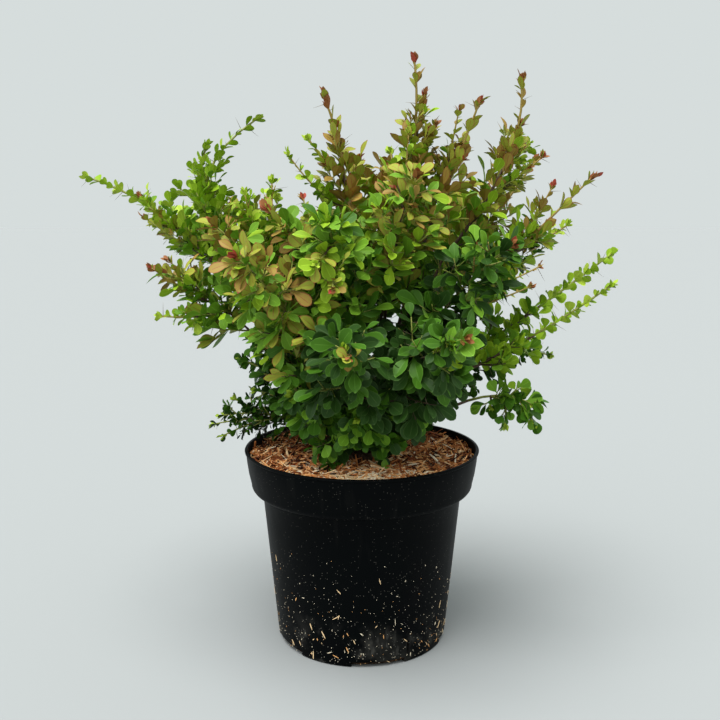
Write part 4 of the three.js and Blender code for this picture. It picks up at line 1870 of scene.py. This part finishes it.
@dataclass(frozen=True)
class Pot:
    """The moulded pot, with its rim band, its drained foot and what sticks to it."""

    sides: int = 160
    edge: float = 2.4
    arc_points: int = 5
    shoulder: float = 7.6
    lip_round: float = 1.6
    drain_count: int = 5
    drain_first: float = 245.0
    drain_width: float = 36.0
    drain_depth: float = 13.0
    drain_height: float = 6.5
    drain_steps: int = 12
    past: float = 2.0
    past_wall: float = 6.0
    weld: float = 1e-6
    slot_bearing: float = 300.5
    slot_size: Triple = (3.2, 3.0, 27.0)
    slot_out: float = 1.2
    sharpest: float = math.radians(32)
    seed: int = 31
    bits_lowest: float = 4.0
    bits_range: float = 170.0
    bits_beta: Pair = (1.0, 3.2)
    bits_proud: float = 0.1
    bits_tilt: float = 0.6
    wall_lean: float = -0.09
    slivers: Bits = Bits(
        110, 1.5, 10.0, (2.0, 1.9), (0.4, 1.2), 0.4,
        (ChipTone.TAN, ChipTone.STRAW, ChipTone.STRAW, ChipTone.PALE),
    )
    crumbs: Bits = Bits(
        700, 0.4, math.inf, (1.2, 0.35), (0.35, 0.7), 0.3,
        (ChipTone.TAN, ChipTone.PALE, ChipTone.PALE, ChipTone.PALE),
    )

    def arc(self, middle: Pair, radius: float, start: float, end: float) -> list[Pair]:
        """Draw a rounded edge round a (radius, height), between two angles from outwards."""
        turns = np.radians(np.linspace(start, end, self.arc_points))
        return [(middle[0] + radius * math.cos(t), middle[1] + radius * math.sin(t)) for t in turns]

    def rings(self) -> list[Pair]:
        """List the rings from the foot, up the outside, over the lip and down the inside.

        Returns:
            (radius, height) of each ring.
        """
        foot = self.arc((POT.base_radius - self.edge, self.edge), self.edge, -90, -6)
        outer = [(POT.wall_radius(h), h) for h in (12, 60, 110, 150, POT.band_foot - 1.5)]
        under = [
            (POT.wall_top_radius + 0.6, POT.band_foot + 0.2),
            (POT.wall_top_radius + 3.0, POT.band_foot + 0.9),
            (POT.band_foot_radius - 6.5, POT.band_foot + 1.6),
        ]
        middle = (POT.band_foot_radius - self.shoulder, POT.band_foot + 9.2)
        shoulder = self.arc(middle, self.shoulder, -62, 6)
        band = [(135.6, 206.0), (137.3, 218.0), (POT.band_top_radius, 227.2)]
        groove = [(POT.band_top_radius - 0.2, POT.height - POT.lip_height - 0.6)]
        middle = (POT.lip_radius - self.lip_round, POT.height - 1.7)
        lip = self.arc(middle, self.lip_round, -75, 90)
        inside = [
            (POT.band_top_radius - POT.wall + 0.4, POT.height - 0.3),
            (POT.band_top_radius - POT.wall, POT.height - 1.6),
            (POT.band_foot_radius - POT.wall, POT.band_foot + POT.band_curve + POT.wall),
            (POT.band_foot_radius - POT.wall - 3, POT.band_foot + POT.wall + 2),
            (POT.wall_top_radius - POT.wall, POT.band_foot + POT.wall),
            (POT.base_radius - POT.wall, POT.floor),
        ]
        return [*foot, *outer, *under, *shoulder, *band, *groove, *lip, *inside]

    def sector(self, bearing: float) -> bpy.types.Object:
        """Make the shape that one drain notch is cut with: a spun block.

        Args:
            bearing: the middle of the notch, in degrees.

        Returns:
            The cutter.
        """
        deselect_all()
        low, high = -self.past, self.drain_height
        inner, outer = POT.base_radius - self.drain_depth, POT.base_radius + self.past_wall
        bpy.ops.mesh.primitive_plane_add(size=1, location=(0, 0, 0))
        cutter = bpy.context.object
        start = math.radians(bearing - self.drain_width / 2)
        across = np.array([math.cos(start), math.sin(start)])
        corners = ((inner, low), (outer, low), (inner, high), (outer, high))
        for vertex, (radius, height) in zip(cutter.data.vertices, corners):
            vertex.co = (*(across * radius * MM), height * MM)
        edit_mesh()
        angle = math.radians(self.drain_width)
        bpy.ops.mesh.spin(steps=self.drain_steps, angle=angle, center=(0, 0, 0), axis=(0, 0, 1))
        bpy.ops.mesh.select_all(action="SELECT")
        bpy.ops.mesh.remove_doubles(threshold=self.weld)
        close_edit()
        return cutter

    def crack(self) -> bpy.types.Object:
        """Make the shape that the narrow upright groove in the foot is cut with.

        Returns:
            The cutter.
        """
        deselect_all()
        bearing = math.radians(self.slot_bearing)
        radius = (POT.base_radius + self.slot_out) * MM
        deep, wide, tall = self.slot_size
        place = (radius * math.cos(bearing), radius * math.sin(bearing), tall * MM / 2)
        bpy.ops.mesh.primitive_cube_add(size=1, location=place, rotation=(0, 0, bearing))
        cutter = bpy.context.object
        cutter.scale = (deep * MM, wide * MM, tall * MM)
        return cutter

    def cut(self, piece: bpy.types.Object, cutter: bpy.types.Object) -> None:
        """Cut one shape out of the pot, and remove the cutter.

        Args:
            piece: the pot.
            cutter: the shape.
        """
        modifier = piece.modifiers.new("cut", "BOOLEAN")
        modifier.operation = "DIFFERENCE"
        modifier.solver = "EXACT"
        modifier.object = cutter
        select_only(piece)
        bpy.ops.object.modifier_apply(modifier=modifier.name)
        bpy.data.objects.remove(cutter)

    def build_shell(self) -> bpy.types.Object:
        """Model the pot.

        Returns:
            The piece.
        """
        piece = raised("pot_shell", self.sides, self.rings())
        for index in range(self.drain_count):
            self.cut(piece, self.sector(self.drain_first + index * 360 / self.drain_count))
        self.cut(piece, self.crack())
        select_only(piece)
        bpy.ops.object.shade_smooth_by_angle(angle=self.sharpest)
        piece.data.materials.append(PotPlastic().material())
        return ride(piece, "pot", "pot")

    def build_flecks(self) -> bpy.types.Object:
        """Stick slivers and crumbs of bark to the wall, most of them low down.

        Returns:
            The piece.
        """
        random = np.random.default_rng(self.seed)
        flecks = Slivers(random=random)
        for bits in (self.slivers, self.crumbs):
            for _ in range(bits.count):
                height = self.bits_lowest + self.bits_range * float(random.beta(*self.bits_beta))
                bearing = float(random.uniform(0, math.tau))
                out = np.array([math.cos(bearing), math.sin(bearing), self.wall_lean])
                radius = POT.wall_radius(height) + self.bits_proud
                middle = np.array([radius * out[0], radius * out[1], height])
                level = unit(np.cross(UP, unit(out)))
                turn = float(random.normal(math.pi / 2, self.bits_tilt))
                along = turned_about(level, unit(out), turn)
                long = min(float(random.gamma(*bits.gamma)) + bits.least, bits.most)
                size = (long, float(random.uniform(*bits.width)), bits.thick)
                tone = bits.tones[int(random.integers(len(bits.tones)))]
                flecks.add(middle, along, unit(out), size, 0, tone)
        return ride(flecks.piece("pot_flecks"), "bark_mulch")


@dataclass(frozen=True)
class ChipRule:
    """How the loose chips lie: their sizes, how they tilt and how deep they are sunk.

    gamma is the shape and scale that lengths are drawn with. tone is a chip's usual place among the
    colours, from dark to pale, which rises with its layer: the lower chips are darker, as painted
    shade in the gaps between chips.
    """

    count: int = 8200
    seed: int = 17
    gamma: Pair = (3.2, 3.6)
    length: Pair = (3.5, 28.0)
    width: Pair = (0.8, 2.5)
    thick: Pair = (0.5, 1.3)
    bow: Pair = (-0.6, 1.2)
    pitch: float = 0.26
    tilt: float = 0.7
    sunk: float = 0.6
    depth: float = 3.0
    propped: float = 0.3
    tone: float = 0.14
    painted_shade_by_layer: float = 0.36
    tone_sway: float = 0.23


@dataclass(frozen=True)
class Mulch:
    """The shredded bark on the compost: a rough bed and loose slivers on it.

    Slivers have their middles between inner and outer. foot_in and top_in are how far inside outer
    the bed's foot and top edge are. The bark is painted paler at the front, as painted light where
    the crown's shade does not fall, from lit_from on over the next lit_over, and less so the
    further it lies to the side of lit_middle. swells and patches are the lengths of the waves that
    make them.
    """

    sides: int = 96
    roughness: float = 1.5
    inner: float = 40.0
    outer: float = 134.0
    foot: float = 212.6
    foot_in: float = 1.5
    top_in: float = 1.0
    sunk: float = 1.0
    first_ring: int = 128
    ring_step: int = 8
    # Painted light: the bark at the front is painted paler where the crown's shade does not fall,
    # fading to the sides
    lit_from: float = 40.0
    lit_over: float = 70.0
    lit_middle: float = -10.0
    lit_side: float = 80.0
    lit_flat: float = 1.25
    lit_front: float = 0.38
    patch_share: float = 0.07
    swells: tuple[float, ...] = (7, 17, 8, 23)
    patches: Triple = (13, 11, 31)
    chips: ChipRule = ChipRule()

    def swell(self, x: Array, y: Array) -> Array:
        """Find the low swells and hollows of the bark, as in the part's source."""
        one, two, three, four = self.swells
        return np.sin(x / one + y / two) * np.cos(y / three - x / four) * self.roughness

    def lit_front_and_patches(self, x: float, y: float) -> float:
        """Find how much paler the bark is painted at a place: painted light at the front, least at
        the sides, plus patches of its own tone.

        Args:
            x: the place's x.
            y: its y.

        Returns:
            How much paler it is.
        """
        aside = abs(x - self.lit_middle) / self.lit_side
        front = clamp((-y - self.lit_from) / self.lit_over) * clamp(self.lit_flat - aside)
        one, two, three = self.patches
        patches = math.sin(x / one + 1.0) * math.cos(y / two - x / three)
        return self.lit_front * front + self.patch_share * patches

    def build_bed(self) -> bpy.types.Object:
        """Model the bed.

        Returns:
            The piece.
        """
        top = POT.bark_level - self.sunk
        rings = [(self.outer - self.foot_in, self.foot), (self.outer - self.top_in, top)]
        rings += [(r, top) for r in range(self.first_ring, self.ring_step, -self.ring_step)]
        piece = raised("mulch_bed", self.sides, rings)
        for vertex in piece.data.vertices:
            if vertex.co.z > (top - 1) * MM:
                vertex.co.z += float(self.swell(vertex.co.x / MM, vertex.co.y / MM)) * MM
        piece.data.materials.append(MULCH_BED.material())
        return ride(piece, "bark_mulch", "bark_mulch")

    def build_chips(self) -> bpy.types.Object:
        """Scatter the slivers, the palest on top: lower ones darker, as painted shade, and those at
        the front paler, as painted light.

        Returns:
            The piece.
        """
        rule = self.chips
        random = np.random.default_rng(rule.seed)
        slivers = Slivers(random=random)
        tones = list(ChipTone)
        while len(slivers.vertices) < rule.count:
            radius = math.sqrt(float(random.uniform(self.inner**2, self.outer**2)))
            bearing = float(random.uniform(0, math.tau))
            x, y = radius * math.cos(bearing), radius * math.sin(bearing)
            layer = float(random.uniform(0, 1))
            pitch = float(random.normal(0, rule.pitch))
            yaw = float(random.uniform(0, math.tau))
            along = np.array([math.cos(yaw), math.sin(yaw), 0]) * math.cos(pitch)
            along[2] = math.sin(pitch)
            long = float(np.clip(random.gamma(*rule.gamma), *rule.length))
            wide = float(random.uniform(*rule.width))
            level = POT.bark_level - rule.sunk + float(self.swell(x, y)) + layer * rule.depth
            middle = np.array([x, y, level + abs(math.sin(pitch)) * long * rule.propped])
            ends = [middle + along * long * s for s in (-0.5, 0.5)]
            if max(math.hypot(e[0], e[1]) for e in ends) > self.outer:
                continue
            square = unit(UP - along * along[2])
            face = turned_about(square, along, float(random.normal(0, rule.tilt)))
            # Lower chips are painted darker, as painted shade in the gaps, and those at the front
            # paler, as painted light
            usual = rule.tone + layer * rule.painted_shade_by_layer + self.lit_front_and_patches(x, y)
            share = clamp(float(random.normal(usual, rule.tone_sway)), 0, LAST_SHARE)
            tone = tones[int(share * len(tones))]
            size = (long, wide, float(random.uniform(*rule.thick)))
            slivers.add(middle, along, face, size, float(random.uniform(*rule.bow)), tone)
        return ride(slivers.piece("mulch_chips"), "bark_mulch")


@dataclass(frozen=True)
class Wood:
    """The stool and the canes on it, with the relief of their bark.

    deep and shallow are each how many furrows go round a cane, and their share of the relief.
    stool is the radius and the height above its foot of each ring, and its foot keeps its outline
    up to kept_foot. knob_turns are how many knobs go round it, and knob_waves the lengths of
    the waves that they climb in.
    """

    sides: int = 12
    step: float = 4.0
    least_rows: int = 6
    hidden_end: float = 0.1
    turn_on: float = 1.3
    ridge: float = 0.14
    furrow_step: float = 0.35
    deep: Pair = (5, 0.6)
    shallow: Pair = (3, 0.4)
    wander: float = 1.7
    stool_sides: int = 48
    stool: tuple[Pair, ...] = (
        (48, 0), (45, 3), (40, 8), (37, 14), (36, 19), (31, 23), (22, 25), (10, 26), (3, 26),
    )
    kept_foot: float = 1.0
    shrunk: float = 0.06
    sunk: float = 0.8
    knob_turns: Pair = (7, 3)
    knob_waves: Pair = (5, 9)
    knob_out: float = 0.048
    knob_up: float = 0.5

    def furrowed(self, limb: Limb, phase: float) -> tuple[Array, list[Face]]:
        """Shape one cane with furrows that run along it.

        Args:
            limb: the cane.
            phase: where round the cane its furrows start.

        Returns:
            Its vertices and its faces.
        """
        vertices, faces = tube(limb)
        rows = len(limb.points)
        vertices = vertices.reshape(rows, limb.sides, 3)
        turns = np.arange(limb.sides) * math.tau / limb.sides
        along = np.arange(rows)[:, None] * self.furrow_step
        waves, share = self.deep
        relief = np.sin(turns[None] * waves + phase + np.sin(along)) * share
        waves, share = self.shallow
        relief = relief + np.sin(turns[None] * waves - phase * 2 + along * self.wander) * share
        middle = limb.points[:, None]
        vertices = middle + (vertices - middle) * (1 + self.ridge * relief[..., None])
        return vertices.reshape(-1, 3), faces

    def build_canes(self, plans: Sequence[MassPlan], lines: Sequence[Curve]) -> bpy.types.Object:
        """Model all canes, from the stool to where their foliage begins.

        Args:
            plans: the masses.
            lines: the whole line of each cane and stem.

        Returns:
            The piece.
        """
        canes = Joined()
        for index, (plan, line) in enumerate(zip(plans, lines)):
            end = plan.enter or self.hidden_end
            rows = max(self.least_rows, round(line.stretch(0, end).length() / self.step))
            shares = np.linspace(0, end, rows)
            limb = Limb(line.point(shares), CANES.radius(shares), 0, self.sides)
            vertices, faces = self.furrowed(limb, index * self.turn_on)
            canes.join(vertices, faces, [0] * len(faces))
        nodes = [f"cane_{plan.name}" for plan in plans if plan.enter]
        return ride(canes.make("canes_bark", [BarkFinish()]), "stem_bark", *nodes)

    def build_stool(self) -> bpy.types.Object:
        """Model the stool: a flared foot, a knobbly head and the relief of old bark.

        Returns:
            The piece.
        """
        foot = CANES.compost_level + CANES.gap
        rings = [(radius, foot + height) for radius, height in self.stool]
        many, few = self.knob_turns
        steep, flat = self.knob_waves
        piece = raised("stool_bark", self.stool_sides, rings)
        for vertex in piece.data.vertices:
            x, y, z = vertex.co / MM
            turn = math.atan2(y, x)
            knob = math.sin(turn * many + z / steep) * math.cos(turn * few - z / flat)
            if z > foot + self.kept_foot:
                factor = 1 - self.shrunk + self.knob_out * knob
                height = z - self.sunk + self.knob_up * knob
                vertex.co = (x * factor * MM, y * factor * MM, height * MM)
        piece.data.materials.append(BarkFinish().material())
        return ride(piece, "stem_bark", "stool")


@dataclass(frozen=True)
class Crown:
    """The masses of foliage, on the whole line of each cane and stem.

    Limbs older than old_until are in the colour of old wood. Those younger than new_from are
    bronze where the mass has red buds, and all others are green.
    """

    plans: Sequence[MassPlan]
    lines: Sequence[Curve]
    old_until: float = 0.34
    new_from: float = 0.7

    def tone_of(self, plan: MassPlan, limb: Limb) -> StemTone:
        """Choose the colour of one limb.

        Args:
            plan: its mass.
            limb: the limb.

        Returns:
            Its colour.
        """
        if limb.youth < self.old_until:
            return StemTone.OLD
        flushed = limb.youth > self.new_from and plan.habit.bud == RED_BUD
        return StemTone.BRONZE if flushed else StemTone.GREEN

    def build(self) -> None:
        """Grow each mass, and make its twigs, its leaves and all spines."""
        stems = [line.stretch(plan.enter, 1) for plan, line in zip(self.plans, self.lines)]
        spines = Limbs()
        total = 0
        for index, plan in enumerate(self.plans):
            mass = MassGrowth(plan, stems[index], stems[:index] + stems[index + 1 :])
            mass.grow()
            node = f"foliage_{plan.name}"
            twigs = Limbs()
            for limb in mass.gathered("limbs"):
                twigs.add(limb, self.tone_of(plan, limb))
            for spine in mass.gathered("spines"):
                spines.add(spine, StemTone.SPINE)
            grown = mass.gathered("leaves")
            ride(twigs.piece(f"twigs_{plan.name}"), "stem_bark", node)
            ride(LeafPiece().build(f"leaves_{plan.name}", grown, index), "foliage", node)
            total += len(grown)
        ride(spines.piece("spines"), "stem_bark")
        LOG.info("leaves in all: %d", total)


@dataclass(frozen=True)
class Lamp:
    """A broad, soft light far above: how it leans from overhead, its side and its width.

    All three are in degrees.
    """

    name: str
    lean: float
    bearing: float
    width: float
    power: float


@dataclass(frozen=True)
class Studio:
    """The floor, the lights and the camera, none of which belong to the part."""

    lens: float = 45.0
    sensor: float = 36.0
    place: Triple = (-0.0022, -1.0505, 0.5175)
    pitch: float = 9.73
    floor_size: float = 40.0
    floor: PlainFinish = PlainFinish("floor_pale", (0.3333, 0.3488, 0.3482), 0.9, 0.1)
    lamps: tuple[Lamp, ...] = (Lamp("skylight", 14, 240, 45, 3.9), Lamp("window", 52, 225, 50, 0.6))
    sky: Colour = (0.81, 0.87, 0.865)
    sky_power: float = 0.83

    def build_floor(self) -> None:
        """Lay a plain pale floor."""
        deselect_all()
        bpy.ops.mesh.primitive_plane_add(size=self.floor_size, location=(0, 0, 0))
        floor = bpy.context.object
        floor.name = "floor"
        floor.data.materials.append(self.floor.material())

    def build_lights(self) -> None:
        """Hang the lamps, and light the sky."""
        for lamp in self.lamps:
            data = bpy.data.lights.new(lamp.name, "SUN")
            data.angle, data.energy = math.radians(lamp.width), lamp.power
            turn = (0, math.radians(lamp.lean), math.radians(lamp.bearing))
            add_object(lamp.name, data).rotation_euler = turn
        world = bpy.data.worlds.new("sky")
        world.use_nodes = True
        sky = world.node_tree.nodes["Background"]
        sky.inputs["Color"].default_value = (*self.sky, 1)
        sky.inputs["Strength"].default_value = self.sky_power
        bpy.context.scene.world = world

    def build_camera(self) -> None:
        """Set up the camera at the photograph's angle."""
        data = bpy.data.cameras.new("camera")
        data.lens, data.sensor_width = self.lens, self.sensor
        camera = add_object("camera", data)
        camera.location = self.place
        camera.rotation_euler = (math.radians(90 - self.pitch), 0, 0)
        bpy.context.scene.camera = camera
        bpy.context.scene.view_settings.view_transform = "Standard"

    def build(self) -> None:
        """Set up the floor, the lights and the camera."""
        self.build_floor()
        self.build_lights()
        self.build_camera()


def main() -> None:
    """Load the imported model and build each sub-assembly on it."""
    logging.basicConfig(level=logging.INFO, format="%(message)s")
    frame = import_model()
    lines = CANES.lead(MASSES)
    pot = Pot()
    pot.build_shell()
    pot.build_flecks()
    mulch = Mulch()
    mulch.build_bed()
    mulch.build_chips()
    frame["nodes"]["root_ball"].data.materials.clear()
    frame["nodes"]["root_ball"].data.materials.append(COMPOST.material())
    wood = Wood()
    wood.build_stool()
    wood.build_canes(MASSES, lines)
    Crown(MASSES, lines).build()
    Studio().build()
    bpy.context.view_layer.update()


if __name__ == "__main__":
    main()
